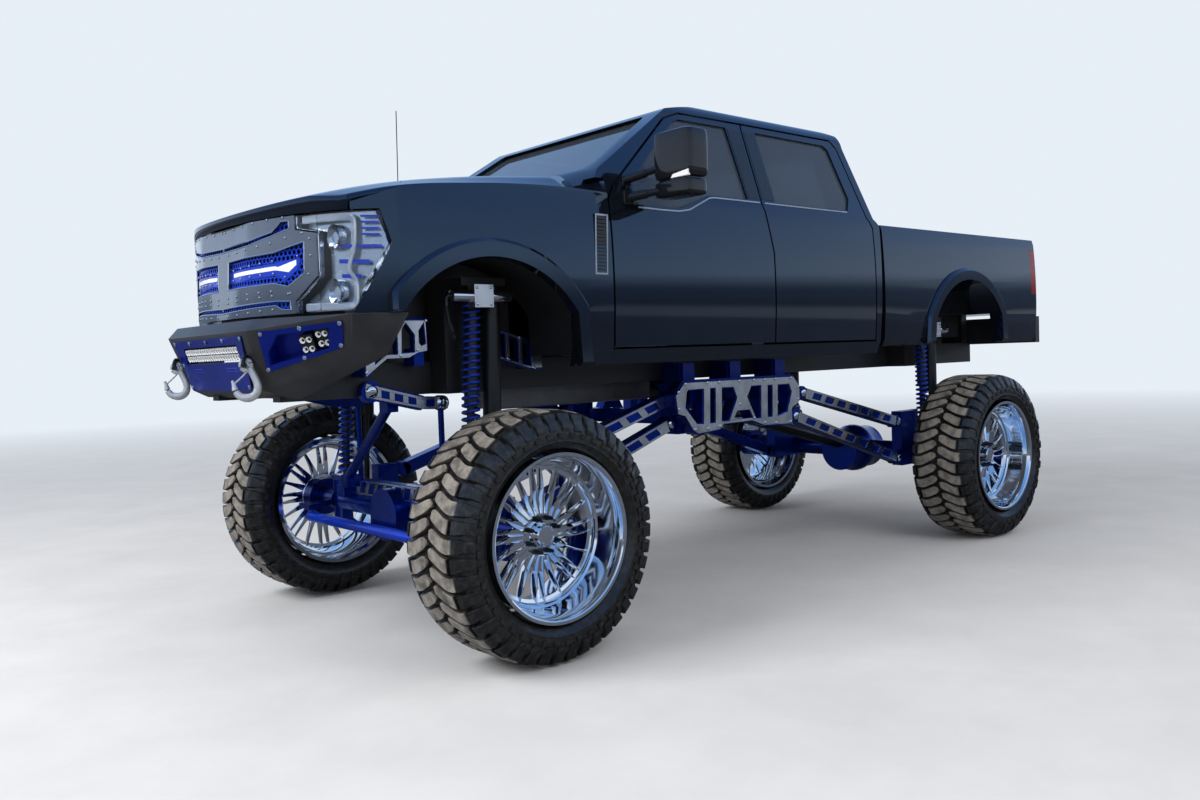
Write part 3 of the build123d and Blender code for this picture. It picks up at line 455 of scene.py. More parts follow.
class Nodes:
    """A material's node tree with short calls to add and join nodes."""

    def __init__(self, name):
        self.material = bpy.data.materials.new(name)
        self.material.use_nodes = True
        self.tree = self.material.node_tree
        self.shader = self.tree.nodes["Principled BSDF"]
        self.place = self.add("ShaderNodeTexCoord").outputs["Object"]

    def add(self, kind, **values):
        node = self.tree.nodes.new(kind)
        for key, value in values.items():
            setattr(node, key, value)
        return node

    def join(self, source, target):
        self.tree.links.new(source, target)

    def noise(self, scale, detail=3.0, rough=0.55, stretch=None, source=None):
        """Noise over the object's own coordinates; stretch gives a scale for each axis."""
        node = self.add("ShaderNodeTexNoise")
        node.inputs["Scale"].default_value = scale
        node.inputs["Detail"].default_value = detail
        node.inputs["Roughness"].default_value = rough
        place = source or self.place
        if stretch:
            turn = self.add("ShaderNodeMapping")
            turn.inputs["Scale"].default_value = stretch
            self.join(place, turn.inputs["Vector"])
            place = turn.outputs["Vector"]
        self.join(place, node.inputs["Vector"])
        return node.outputs["Fac"]

    def cells(self, scale, feature="F1", source=None):
        node = self.add("ShaderNodeTexVoronoi", feature=feature)
        node.inputs["Scale"].default_value = scale
        self.join(source or self.place, node.inputs["Vector"])
        return node.outputs["Distance"]

    def spread(self, source, low, high, start=0.3, end=0.7):
        """Values from start to end brought to low to high."""
        node = self.add("ShaderNodeMapRange")
        for key, value in (("From Min", start), ("From Max", end), ("To Min", low), ("To Max", high)):
            node.inputs[key].default_value = value
        self.join(source, node.inputs["Value"])
        return node.outputs["Result"]

    def times(self, a, b):
        node = self.add("ShaderNodeMath", operation="MULTIPLY")
        self.join(a, node.inputs[0])
        if isinstance(b, float):
            node.inputs[1].default_value = b
        else:
            self.join(b, node.inputs[1])
        return node.outputs["Value"]

    def mix(self, share, first, second):
        """A blend of two colours, or of two colour outputs."""
        node = self.add("ShaderNodeMix", data_type="RGBA")
        self.join(share, node.inputs["Factor"])
        for value, socket in ((first, node.inputs["A"]), (second, node.inputs["B"])):
            if isinstance(value, bpy.types.NodeSocket):
                self.join(value, socket)
            else:
                socket.default_value = (*value, 1.0)
        return node.outputs["Result"]

    def bump(self, height, strength, distance=0.001):
        node = self.add("ShaderNodeBump")
        node.inputs["Strength"].default_value = strength
        node.inputs["Distance"].default_value = distance
        self.join(height, node.inputs["Height"])
        return node.outputs["Normal"]

    def set(self, **values):
        for key, value in values.items():
            socket = self.shader.inputs[key.replace("_", " ")]
            if isinstance(value, bpy.types.NodeSocket):
                self.join(value, socket)
            else:
                socket.default_value = (*value, 1.0) if isinstance(value, tuple) else value
        return self


def shade(colour, factor):
    return tuple(min(1.0, c * factor) for c in colour)


def coat(name, colour, metal=0.0, rough=0.35, clear=1.0, clear_rough=0.03, vary=0.25,
         peel=0.04, dusty=0.0, specular=0.5, clear_ior=1.5, tint=(1, 1, 1)):
    """Painted finish: colour drifting slowly, a faint ripple, and dust where asked.
    Colour = mix(colour (1-vary), colour (1+vary), noise); height = noise at 5 mm."""
    n = Nodes(name)
    base = n.mix(n.spread(n.noise(2.2, 4), 0, 1), shade(colour, 1 - vary), shade(colour, 1 + vary))
    if dusty:
        high = n.add("ShaderNodeSeparateXYZ")
        n.join(n.place, high.inputs["Vector"])
        low = n.spread(high.outputs["Z"], 1.0, 0.12, 1.2, 2.1)
        share = n.times(n.times(n.spread(n.noise(9, 6, 0.7), 0.15, 1), low), dusty)
        base = n.mix(share, base, (0.32, 0.29, 0.25))
    n.set(Base_Color=base, Metallic=metal, Coat_Weight=clear, Coat_Roughness=clear_rough,
          Specular_IOR_Level=specular, Coat_IOR=clear_ior,
          Roughness=n.spread(n.noise(14, 4), rough * 0.8, min(1, rough * 1.25)))
    # specular tint colours the reflections themselves; the body paint's blue tint is a painted sky reflection
    n.shader.inputs["Specular Tint"].default_value = (*tint, 1.0)
    ripple = n.bump(n.noise(190, 1.5), peel, 0.0004)
    n.set(Normal=ripple, Coat_Normal=ripple)
    return n.material


def bare_metal(name, colour, rough=0.12, grain=(6, 900, 6), strength=0.05, smudge=0.5):
    """Bare metal: fine lines from stretched noise, and smudges that dull it here and there."""
    n = Nodes(name)
    lines = n.noise(1.0, 2, 0.5, stretch=grain)
    dull = n.noise(7, 5, 0.65)
    n.set(Base_Color=n.mix(n.spread(dull, 0, 1), shade(colour, 0.86), colour), Metallic=1.0,
          Roughness=n.spread(dull, rough * (1 - smudge), rough * (1 + smudge)))
    n.set(Normal=n.bump(lines, strength, 0.0004))
    return n.material


def moulded(name, colour, rough=0.5, scale=420.0, strength=0.25, vary=0.2, metal=0.0):
    """Moulded or powder-coated surface: pebbled by cells, its tone and gloss drifting."""
    n = Nodes(name)
    drift = n.noise(5, 5, 0.6)
    n.set(Base_Color=n.mix(n.spread(drift, 0, 1), shade(colour, 1 - vary), shade(colour, 1 + vary)),
          Roughness=n.spread(drift, rough * 0.85, min(1, rough * 1.15)), Metallic=metal)
    n.set(Normal=n.bump(n.cells(scale), strength, 0.0006))
    return n.material


def rubber_finish(colours):
    """Tyre rubber: dust follows the attribute on the lug faces, broken up by noise.
    Share = dust attribute x (0.35 to 1, by noise); roughness runs from wet black to dry."""
    n = Nodes("tyre_rubber")
    layer = n.add("ShaderNodeAttribute", attribute_name="dust")
    blotch = n.spread(n.noise(16, 7, 0.7), 0.25, 1.0, 0.34, 0.6)
    share = n.times(layer.outputs["Fac"], blotch)
    thin = n.times(n.spread(n.noise(40, 5, 0.7), 0.0, 0.10, 0.45, 0.75), 1.0)
    clean = n.mix(thin, tuple(colours.rubber), tuple(colours.dust))
    n.set(Base_Color=n.mix(share, clean, tuple(colours.dust)), Specular_IOR_Level=0.5,
          Roughness=n.spread(share, 0.30, 0.85, 0.0, 0.6))
    n.set(Normal=n.bump(n.noise(260, 4, 0.6), 0.18, 0.0008))
    return n.material


def leather(name, colour):
    """Grained leather: cell creases over a slow wrinkle, softly worn."""
    n = Nodes(name)
    crease = n.cells(330, "DISTANCE_TO_EDGE")
    wrinkle = n.noise(24, 4, 0.6)
    height = n.mix(n.spread(wrinkle, 0.25, 0.75), (0, 0, 0), (1, 1, 1))
    n.set(Base_Color=n.mix(n.spread(wrinkle, 0, 1), shade(colour, 0.8), shade(colour, 1.3)),
          Roughness=n.spread(wrinkle, 0.38, 0.6), Sheen_Weight=0.1)
    step = n.bump(height, 0.2, 0.002)
    fine = n.add("ShaderNodeBump")
    fine.inputs["Strength"].default_value = 0.35
    fine.inputs["Distance"].default_value = 0.0006
    n.join(n.spread(crease, 0, 1, 0, 0.08), fine.inputs["Height"])
    n.join(step, fine.inputs["Normal"])
    n.set(Normal=fine.outputs["Normal"])
    return n.material


def clear_glass(name, colour, rough=0.0, through=1.0, vary=0.1, ior=1.45):
    """Glass or clear plastic, with a faint film of dust in its roughness."""
    n = Nodes(name)
    film = n.noise(6, 5, 0.6)
    n.set(Base_Color=n.mix(n.spread(film, 0, 1), shade(colour, 1 - vary), colour),
          Roughness=n.spread(film, rough, rough + 0.03), Transmission_Weight=through, IOR=ior)
    return n.material


def glowing(name, colour, strength, rough=0.3):
    """A lit or pale lamp element: its own colour, ribbed by fine lines, with a little glow."""
    n = Nodes(name)
    ribs = n.noise(1.0, 1, 0.5, stretch=(240, 240, 240))
    tone = n.mix(n.spread(ribs, 0, 1), shade(colour, 0.8), colour)
    n.set(Base_Color=tone, Roughness=rough, Emission_Color=tone, Emission_Strength=strength)
    n.set(Normal=n.bump(ribs, 0.3, 0.001))
    return n.material


def make_finishes(colours):
    """Every finish of the truck, by name."""
    body, candy, bright = (tuple(colours.body), tuple(colours.candy), tuple(colours.bright))
    return {
        # the body paint's blue specular tint is a painted sky reflection: it colours every reflection on the
        # black paint slate blue
        "body": coat("gloss_black_paint", body, rough=0.05, clear=0.25, clear_rough=0.01, vary=0.2,
                     peel=0.008, dusty=0.01, specular=1.0, tint=(0.26, 0.5, 0.85)),
        "candy": coat("candy_blue_paint", candy, metal=0.8, rough=0.3, peel=0.04, clear=0.35,
                      specular=0.3, clear_ior=1.4),
        "panel": coat("panel_blue_paint", (0.001, 0.018, 0.30), metal=0.7, rough=0.35, peel=0.04,
                      clear=0.4, clear_ior=1.4),
        "bright": coat("bright_blue_paint", bright, metal=0.6, rough=0.35, clear=0.5, peel=0.05,
                       clear_ior=1.4),
        "spring": coat("spring_blue_paint", shade(bright, 0.6), metal=0.4, rough=0.35, peel=0.06),
        "plate": bare_metal("polished_plate", (0.86, 0.86, 0.88), 0.2, (300, 6, 6), 0.06),
        "wheel": bare_metal("polished_wheel", (0.91, 0.92, 0.94), 0.07, (20, 20, 20), 0.01, 0.4),
        "steel": bare_metal("bright_steel", (0.8, 0.8, 0.81), 0.16, (60, 60, 60), 0.03),
        "chrome": bare_metal("chrome", (0.9, 0.9, 0.91), 0.05, (30, 30, 30), 0.005),
        "satin": bare_metal("satin_trim", (0.42, 0.43, 0.45), 0.25, (200, 6, 6), 0.03),
        "shock": coat("black_anodised", (0.008, 0.008, 0.009), metal=0.3, rough=0.4, clear=0.4,
                      clear_rough=0.2, peel=0.05),
        "chassis": moulded("chassis_black", (0.012, 0.012, 0.013), 0.42, 700, 0.15),
        "engine": moulded("cast_grey", (0.16, 0.16, 0.165), 0.5, 300, 0.4, metal=0.7),
        "plastic": moulded("cabin_plastic", (0.02, 0.02, 0.021), 0.55, 520, 0.3),
        "liner": moulded("liner_felt", (0.006, 0.006, 0.007), 0.8, 900, 0.5),
        "gloss": coat("gloss_black_trim", (0.006, 0.006, 0.007), rough=0.25, peel=0.01,
                      specular=0.1, clear_ior=1.42),
        "grille": coat("grille_grey", (0.13, 0.15, 0.2), metal=0.85, rough=0.2, peel=0.02),
        "hook": coat("hook_enamel", (0.56, 0.57, 0.58), metal=0.6, rough=0.35, clear=0.6, peel=0.06),
        "reflector": bare_metal("lamp_reflector", (0.62, 0.66, 0.7), 0.24, (4, 4, 700), 0.35),
        "bumper": moulded("bumper_powder", (0.024, 0.024, 0.026), 0.38, 600, 0.3, 0.3),
        "liner_spray": moulded("bed_liner", (0.012, 0.012, 0.012), 0.75, 160, 0.9),
        "glass": clear_glass("dark_glass", (0.16, 0.19, 0.23), 0.0, 0.75, ior=1.4),
        "lens": clear_glass("lamp_clear", (0.93, 0.96, 1.0), 0.0, 1.0, 0.03, 1.3),
        "tube": glowing("lamp_guide", (0.52, 0.58, 0.64), 0.08),
        "led": glowing("lamp_led", (0.72, 0.74, 0.76), 0.05),
        "mirror": bare_metal("mirror_silver", (0.75, 0.77, 0.8), 0.02, (3, 3, 3), 0.0, 0.3),
        "white": coat("white_enamel", (0.78, 0.79, 0.8), rough=0.4, clear=0.5, vary=0.05, peel=0.02),
        "red": clear_glass("lamp_red", (0.45, 0.01, 0.012), 0.05, 0.6),
        "amber": clear_glass("lamp_amber", (0.8, 0.25, 0.02), 0.05, 0.5),
        "leather": leather("black_leather", (0.016, 0.016, 0.017)),
        "rubber": rubber_finish(colours),
    }


FINISH = {}


def tools():
    """The sizes and colours that the sidebar holds."""
    return bpy.context.scene.pickup_sizes, bpy.context.scene.pickup_colours


# Wheels

def wheel_points(centre_x, side, angle, across, radius):
    """Points of a wheel: (x, y, z) = axle + (r cos a, side (0 + across), r sin a)."""
    return np.stack((centre_x + radius * np.cos(angle),
                     side * (WHEEL_SIDE + across) + 0 * angle,
                     AXLE_HEIGHT + radius * np.sin(angle)), -1)


CARCASS = (
    (0.390, -0.166), (0.405, -0.196), (0.425, -0.212), (0.452, -0.222), (0.480, -0.222),
    (0.505, -0.214), (0.528, -0.196), (0.545, -0.160), (0.552, -0.090), (0.554, 0.0),
    (0.552, 0.090), (0.545, 0.160), (0.528, 0.196), (0.505, 0.214), (0.480, 0.222),
    (0.452, 0.222), (0.440, 0.2215), (0.436, 0.2235), (0.432, 0.219), (0.425, 0.212),
    (0.405, 0.196), (0.390, 0.166),
)


def lug_row(centre_x, side, half, count, stagger):
    """One row of curved lugs from the tyre's middle to over its shoulder.
    Along s from 0 to 1 a lug's middle runs across and falls from the crown to the side wall;
    its angle is a0 + 0.065 (1 - s)^2 - 0.01 s plus a wave of 0.011 sin(2 pi (1.25 s + 0.1));
    its end at the middle is rounded. The section has a base, chamfered edges and a flat face.
    Every second lug ends lower on the side wall and has a notch at the shoulder."""
    s = np.array((0, 0.02, 0.05, 0.1, 0.17, 0.25, 0.33, 0.41, 0.48, 0.55, 0.605, 0.61, 0.67, 0.675,
                  0.72, 0.78, 0.80, 0.86, 0.93, 1.0))
    k = np.arange(count)
    across = np.interp(s, (0, 0.62, 0.8, 0.9, 1), (0.008, 0.15, 0.192, 0.211, 0.2265))
    top = np.interp(s, (0, 0.02, 0.45, 0.62, 0.8, 0.9, 1),
                    (0.571, 0.5785, 0.5785, 0.575, 0.561, 0.538, 0.499))
    base = np.interp(s, (0, 0.62, 0.8, 0.9, 1), (0.546, 0.540, 0.524, 0.506, 0.482))
    pitch = 2 * np.pi / count
    bend = 0.065 * (1 - s) ** 2 - 0.01 * s + 0.011 * np.sin(2 * np.pi * (1.25 * s + 0.1))
    wide = pitch * 0.385 * np.interp(s, (0, 0.02, 0.05, 0.1, 0.2, 0.8, 0.86, 1),
                                     (0.3, 0.5, 0.72, 0.9, 1, 1, 0.86, 0.8))
    short = (k % 2 == 1)[:, None]
    notch = (s > 0.606) & (s < 0.672)
    tall = np.where(short & notch, 0.45, 1.0) * np.where(short, 1, np.interp(s, (0.8, 0.93), (1, 0.4)))
    top = base + (top - base) * tall
    middle = (k * pitch + stagger * pitch)[:, None] + bend
    # angle offset in widths, then share of the height, for the six points of the section
    offsets = (-1.13, -1.0, -0.92, 0.92, 1.0, 1.13)
    levels = (0.0, 0.88, 1.0, 1.0, 0.88, 0.0)
    angle = middle[..., None] + (wide[..., None] * np.array(offsets))
    radius = base[None, :, None] + (top - base)[..., None] * np.array(levels)
    side_step = np.broadcast_to((half * across)[:, None], angle.shape)
    points = wheel_points(centre_x, side, angle, side_step, radius)
    ends = np.where(short, 0.60, 0.70)
    dusty = (s <= ends)[..., None] * np.array((0.0, 0.2, 1.0, 1.0, 0.2, 0.0))
    lug_faces = grid(len(s), 6, close_cols=True)
    lug_faces.append([0, 1, 2, 3, 4, 5][::-1])
    lug_faces.append([(len(s) - 1) * 6 + j for j in range(6)])
    size = len(s) * 6
    faces = [[v + lug * size for v in face] for lug in range(count) for face in lug_faces]
    return points.reshape(-1, 3), faces, dusty.ravel()


def side_blocks(centre_x, side, half, count):
    """Small square blocks low on the side wall, one under each lug: each is a box in
    (angle, across, radius) between two values of each."""
    pitch = 2 * np.pi / count
    middle = (np.arange(count) * pitch)[:, None]
    corners = np.array([(a, c, r) for r in (0.455, 0.476) for c, a in
                        ((0.218, -1), (0.229, -0.8), (0.229, 0.8), (0.218, 1))])
    angle = middle + corners[:, 0] * pitch * 0.3
    points = wheel_points(centre_x, side, angle, half * corners[:, 1] + 0 * angle,
                          corners[:, 2] + 0 * angle)
    one = grid(2, 4, close_cols=True) + [[3, 2, 1, 0], [4, 5, 6, 7]]
    faces = [[v + b * 8 for v in face] for b in range(count) for face in one]
    return points.reshape(-1, 3), faces, np.zeros(count * 8)


class PICKUP_OT_tyres(bpy.types.Operator):
    """Tyres with two rows of curved lugs, side blocks and a plain side wall"""
    bl_idname = "pickup.tyres"
    bl_label = "Tyres"

    def execute(self, context):
        sizes, _ = tools()
        for name, x, side in WHEELS:
            axle = np.array((x, side * WHEEL_SIDE, AXLE_HEIGHT))
            shapes = [lathed(CARCASS, axle, (0, side, 0), 160) + (np.full(160 * len(CARCASS), 0.0),)]
            for half, stagger in ((1, 0.5), (-1, 0.0)):
                shapes.append(lug_row(x, side, half, sizes.lugs, stagger))
                shapes.append(side_blocks(x, side, half, sizes.lugs))
            dust = np.concatenate([row[2] for row in shapes])
            piece(f"tyre_tread_{name}", [row[:2] for row in shapes], FINISH["rubber"],
                  f"wheel_{name}", (f"tyre_{name}",), angle=24,
                  attribute=("dust", dust))
        return {"FINISHED"}


RIM = (
    (0.386, 0.213), (0.3865, 0.204), (0.374, 0.199), (0.372, 0.18), (0.352, 0.05),
    (0.350, -0.16), (0.372, -0.19), (0.386, -0.2), (0.386, -0.213), (0.366, -0.213),
    (0.352, -0.19), (0.336, -0.16), (0.318, 0.006), (0.300, 0.008), (0.300, 0.026),
    (0.316, 0.030), (0.324, 0.040), (0.327, 0.052), (0.337, 0.060), (0.346, 0.090),
    (0.352, 0.150), (0.357, 0.185), (0.362, 0.200), (0.366, 0.209), (0.372, 0.213),
)


def spokes(centre_x, side, groups):
    """Knife-edged spokes in groups of three. Along s, radius = 0.100 + 0.219 s; a spoke's angle
    drifts from its foot to its tip, its half width tapers from 19 to 6 mm, and its ridge falls
    with s from the hub to the ring. The section has two low edges, two shoulders and a ridge."""
    s = np.linspace(0, 1, 11)
    radius = 0.100 + 0.219 * s
    ridge = 0.060 - 0.024 * s ** 0.8
    depth = np.interp(s, (0, 1), (0.050, 0.030))
    wide = np.interp(s, (0, 0.22, 0.5, 1), (0.0185, 0.0175, 0.0105, 0.0058))
    # a spoke's foot and tip, in degrees from its group's first direction
    feet, tips = np.array((2.0, 18.0, 34.5)), np.array((4.2, 22.5, 40.8))
    turn = 8 / groups
    start = np.repeat(np.arange(groups) * 360 / groups, 3)
    foot, tip = (np.tile(row * turn, groups) for row in (feet, tips))
    middle = -np.radians((start + foot)[:, None] + (tip - foot)[:, None] * s ** 1.3)
    offsets = np.array((-1.0, -1.0, -0.16, 0.16, 1.0, 1.0))
    levels = np.array((0.0, 0.55, 1.0, 1.0, 0.55, 0.0))
    angle = middle[..., None] + (wide / radius)[:, None] * offsets
    across = (ridge - depth)[:, None] + depth[:, None] * levels
    points = wheel_points(centre_x, side, angle, across[None] + 0 * angle,
                          radius[None, :, None] + 0 * angle)
    one = grid(len(s), 6, close_cols=True)
    one.append([5, 4, 3, 2, 1, 0])
    one.append([(len(s) - 1) * 6 + j for j in range(6)])
    size = len(s) * 6
    faces = [[v + k * size for v in face] for k in range(len(start)) for face in one]
    return points.reshape(-1, 3), faces


class PICKUP_OT_wheels(bpy.types.Operator):
    """Deep polished wheels: barrel, pairs of slanted spokes, hub, cap and spiked nuts"""
    bl_idname = "pickup.wheels"
    bl_label = "Wheels"

    def execute(self, context):
        sizes, _ = tools()
        for name, x, side in WHEELS:
            axle = np.array((x, side * WHEEL_SIDE, AXLE_HEIGHT))
            out = (0, side, 0)
            hub = ((0.1335, 0.0012), (0.1335, 0.012), (0.126, 0.030), (0.112, 0.044), (0.104, 0.047),
                   (0.101, 0.042), (0.062, 0.042), (0.058, 0.047), (0.056, 0.062), (0.0, 0.062),
                   (0.0, 0.0012))
            cap = ((0.052, 0.055), (0.052, 0.088), (0.047, 0.094), (0.040, 0.095), (0.038, 0.0925),
                   (0.0, 0.094), (0.0, 0.055))
            shapes = [lathed(RIM, axle, out, 160) + (0,), spokes(x, side, sizes.spoke_groups) + (0,),
                      lathed(hub, axle, out, 64) + (0,), lathed(cap, axle, out, 48) + (0,)]
            spike = ((0.0, 0.035), (0.0125, 0.035), (0.0125, 0.060), (0.0105, 0.064), (0.0085, 0.092),
                     (0.003, 0.103), (0.0, 0.104))
            for k in range(8):
                a = (k + 0.5) * np.pi / 4
                spot = wheel_points(x, side, np.array(a), np.array(0.0), np.array(0.0815))
                shapes.append(lathed(spike, spot, out, 12) + (1,))
            lip = [wheel_points(x, side, np.array(k * np.pi / 20), np.array(0.2105),
                                np.array(0.3745)) for k in range(40)]
            shapes += [row + (0,) for row in studs(lip, out, 0.0028, 0.0028, 8)]
            piece(f"wheel_face_{name}", shapes, [FINISH["wheel"], FINISH["shock"]],
                  f"wheel_{name}", (f"rim_{name}",), angle=28)
        return {"FINISHED"}


# Body

BODY_SIDE = np.array(((1.622, 0.987), (1.78, 0.9873), (1.93, 0.985), (2.06, 0.9787), (2.15, 0.9705),
                      (2.20, 0.965), (2.243, 0.950), (2.70, 0.800)))
TRIM_SECTION = np.array(((-0.003, -0.006), (0.0035, -0.0045), (0.0035, 0.0045), (-0.003, 0.006)))
# door, line under its window, and the two low and two high corners of its pillar strip
BELT = (
    ("front", ((-0.835, 2.153), (-1.0, 2.150), (-1.139, 2.152), (-1.22, 2.166), (-1.31, 2.206),
               (-1.40, 2.244), (-1.44, 2.250), (-1.62, 2.251), (-1.838, 2.251)),
     ((-1.746, 2.272), (-1.840, 2.272), (-1.846, 2.694), (-1.730, 2.694))),
    ("rear", ((-1.880, 2.251), (-2.2, 2.251), (-2.5, 2.251), (-2.70, 2.252)),
     ((-1.872, 2.272), (-1.982, 2.272), (-1.977, 2.694), (-1.878, 2.694))),
)


def along_side(points, proud):
    """Points (station, height) laid on the body's left side, as far out as it is there."""
    points = np.asarray(points, float)
    wide = np.interp(points[:, 1], *BODY_SIDE.T) + proud
    return np.stack((FRONT_AXLE + points[:, 0], wide, points[:, 1]), -1)


VENT = mm((-508, 986.6, 1795), (-592, 986.6, 1795), (-610, 980.6, 2100), (-524, 980.6, 2100))

# node, finish, slot, width of the rounded edge
BODY_SKINS = (
    ("cab_shell", "body", "body_black", 0.003), ("fender_left", "body", "body_black", 0.003),
    ("fender_right", "body", "body_black", 0.003),
    ("bed_box", "body", "body_black", 0.003), ("tailgate", "body", "body_black", 0.004),
    ("door_front_left", "body", "body_black", 0.003),
    ("door_front_right", "body", "body_black", 0.003),
    ("door_rear_left", "body", "body_black", 0.003),
    ("door_rear_right", "body", "body_black", 0.003),
    ("antenna", "chassis", "frame_black", 0.0),
)
GLASS_SKINS = (
    ("cab_glass", "glass", "dark_glass"),
    ("door_glass_front_left", "glass", "dark_glass"),
    ("door_glass_front_right", "glass", "dark_glass"),
    ("door_glass_rear_left", "glass", "dark_glass"),
    ("door_glass_rear_right", "glass", "dark_glass"),
)
CHASSIS_SKINS = (
    ("frame", "chassis", "frame_black", 0.003),
    ("front_axle", "candy", "candy_blue", 0.003), ("rear_axle", "candy", "candy_blue", 0.003),
    ("sway_arms", "candy", "candy_blue", 0.003), ("track_bar", "candy", "candy_blue", 0.0),
    ("drive_shafts", "shock", "frame_black", 0.0), ("engine_block", "engine", "engine_grey", 0.01),
    ("tie_rod", "bright", "bright_blue", 0.0), ("knuckle_left", "candy", "candy_blue", 0.003),
    ("knuckle_right", "candy", "candy_blue", 0.003),
    ("shock_absorbers", "shock", "shock_black", 0.0),
    ("arch_liners", "liner", "cabin_plastic", 0.0),
)
FRONT_SKINS = (
    ("radiator_panel", "plastic", "cabin_plastic", 0.0),
    ("rear_bumper", "bumper", "bumper_black", 0.003), ("tail_lamps", "red", "lamp_red", 0.001),
)
CABIN_SKINS = (
    ("dashboard", "plastic", "cabin_plastic", 0.004),
)


# station, then the height of the hood's edge, its crease and its middle
HOOD = np.array(((-0.550, 2.226, 2.330, 2.372), (0.0, 2.216, 2.280, 2.318), (0.520, 2.166, 2.202, 2.236),
                 (0.850, 2.084, 2.122, 2.144), (0.990, 2.050, 2.080, 2.096)))
HOOD_HALF, HOOD_CREASE, HOOD_LIP = 0.848, 0.690, 2.053


def hood_sheet():
    """The hood with its turned-down lip. At half width y it runs from the cowl to the nose's
    plan; its height is a cubic curve along the station, straight from edge to crease and a
    parabola from crease to middle. Three more rows round the front and drop to its lip."""
    y = np.concatenate((np.linspace(-HOOD_HALF, -HOOD_CREASE, 5)[:-1],
                        np.linspace(-HOOD_CREASE, HOOD_CREASE, 41),
                        np.linspace(HOOD_CREASE, HOOD_HALF, 5)[1:]))
    wide = np.abs(y)
    front = np.where(wide < 0.66, circle_station(FRONT_ARC, wide), circle_station(SIDE_ARC, wide)) + 0.002
    share = np.linspace(0, 1, 28)[:, None] ** 0.85
    station = HOOD[0, 0] + (front - 0.006 - HOOD[0, 0]) * share
    edge, crease, middle = (smooth(station, HOOD[:, 0], HOOD[:, k]) for k in (1, 2, 3))
    out = np.clip((wide - HOOD_CREASE) / (HOOD_HALF - HOOD_CREASE), 0, 1)
    height = np.where(wide > HOOD_CREASE, crease + (edge - crease) * out,
                      middle + (crease - middle) * (wide / HOOD_CREASE) ** 2)
    last = height[-1]
    lip = np.minimum(np.full_like(y, HOOD_LIP), last - 0.016)
    stations = np.concatenate((station, (front - 0.002)[None], front[None], front[None]))
    heights = np.concatenate((height, (last - 0.002)[None], (last - 0.007)[None], lip[None]))
    points = np.stack((FRONT_AXLE + stations, np.broadcast_to(y, stations.shape), heights), -1)
    return points.reshape(-1, 3), grid(len(stations), len(y))


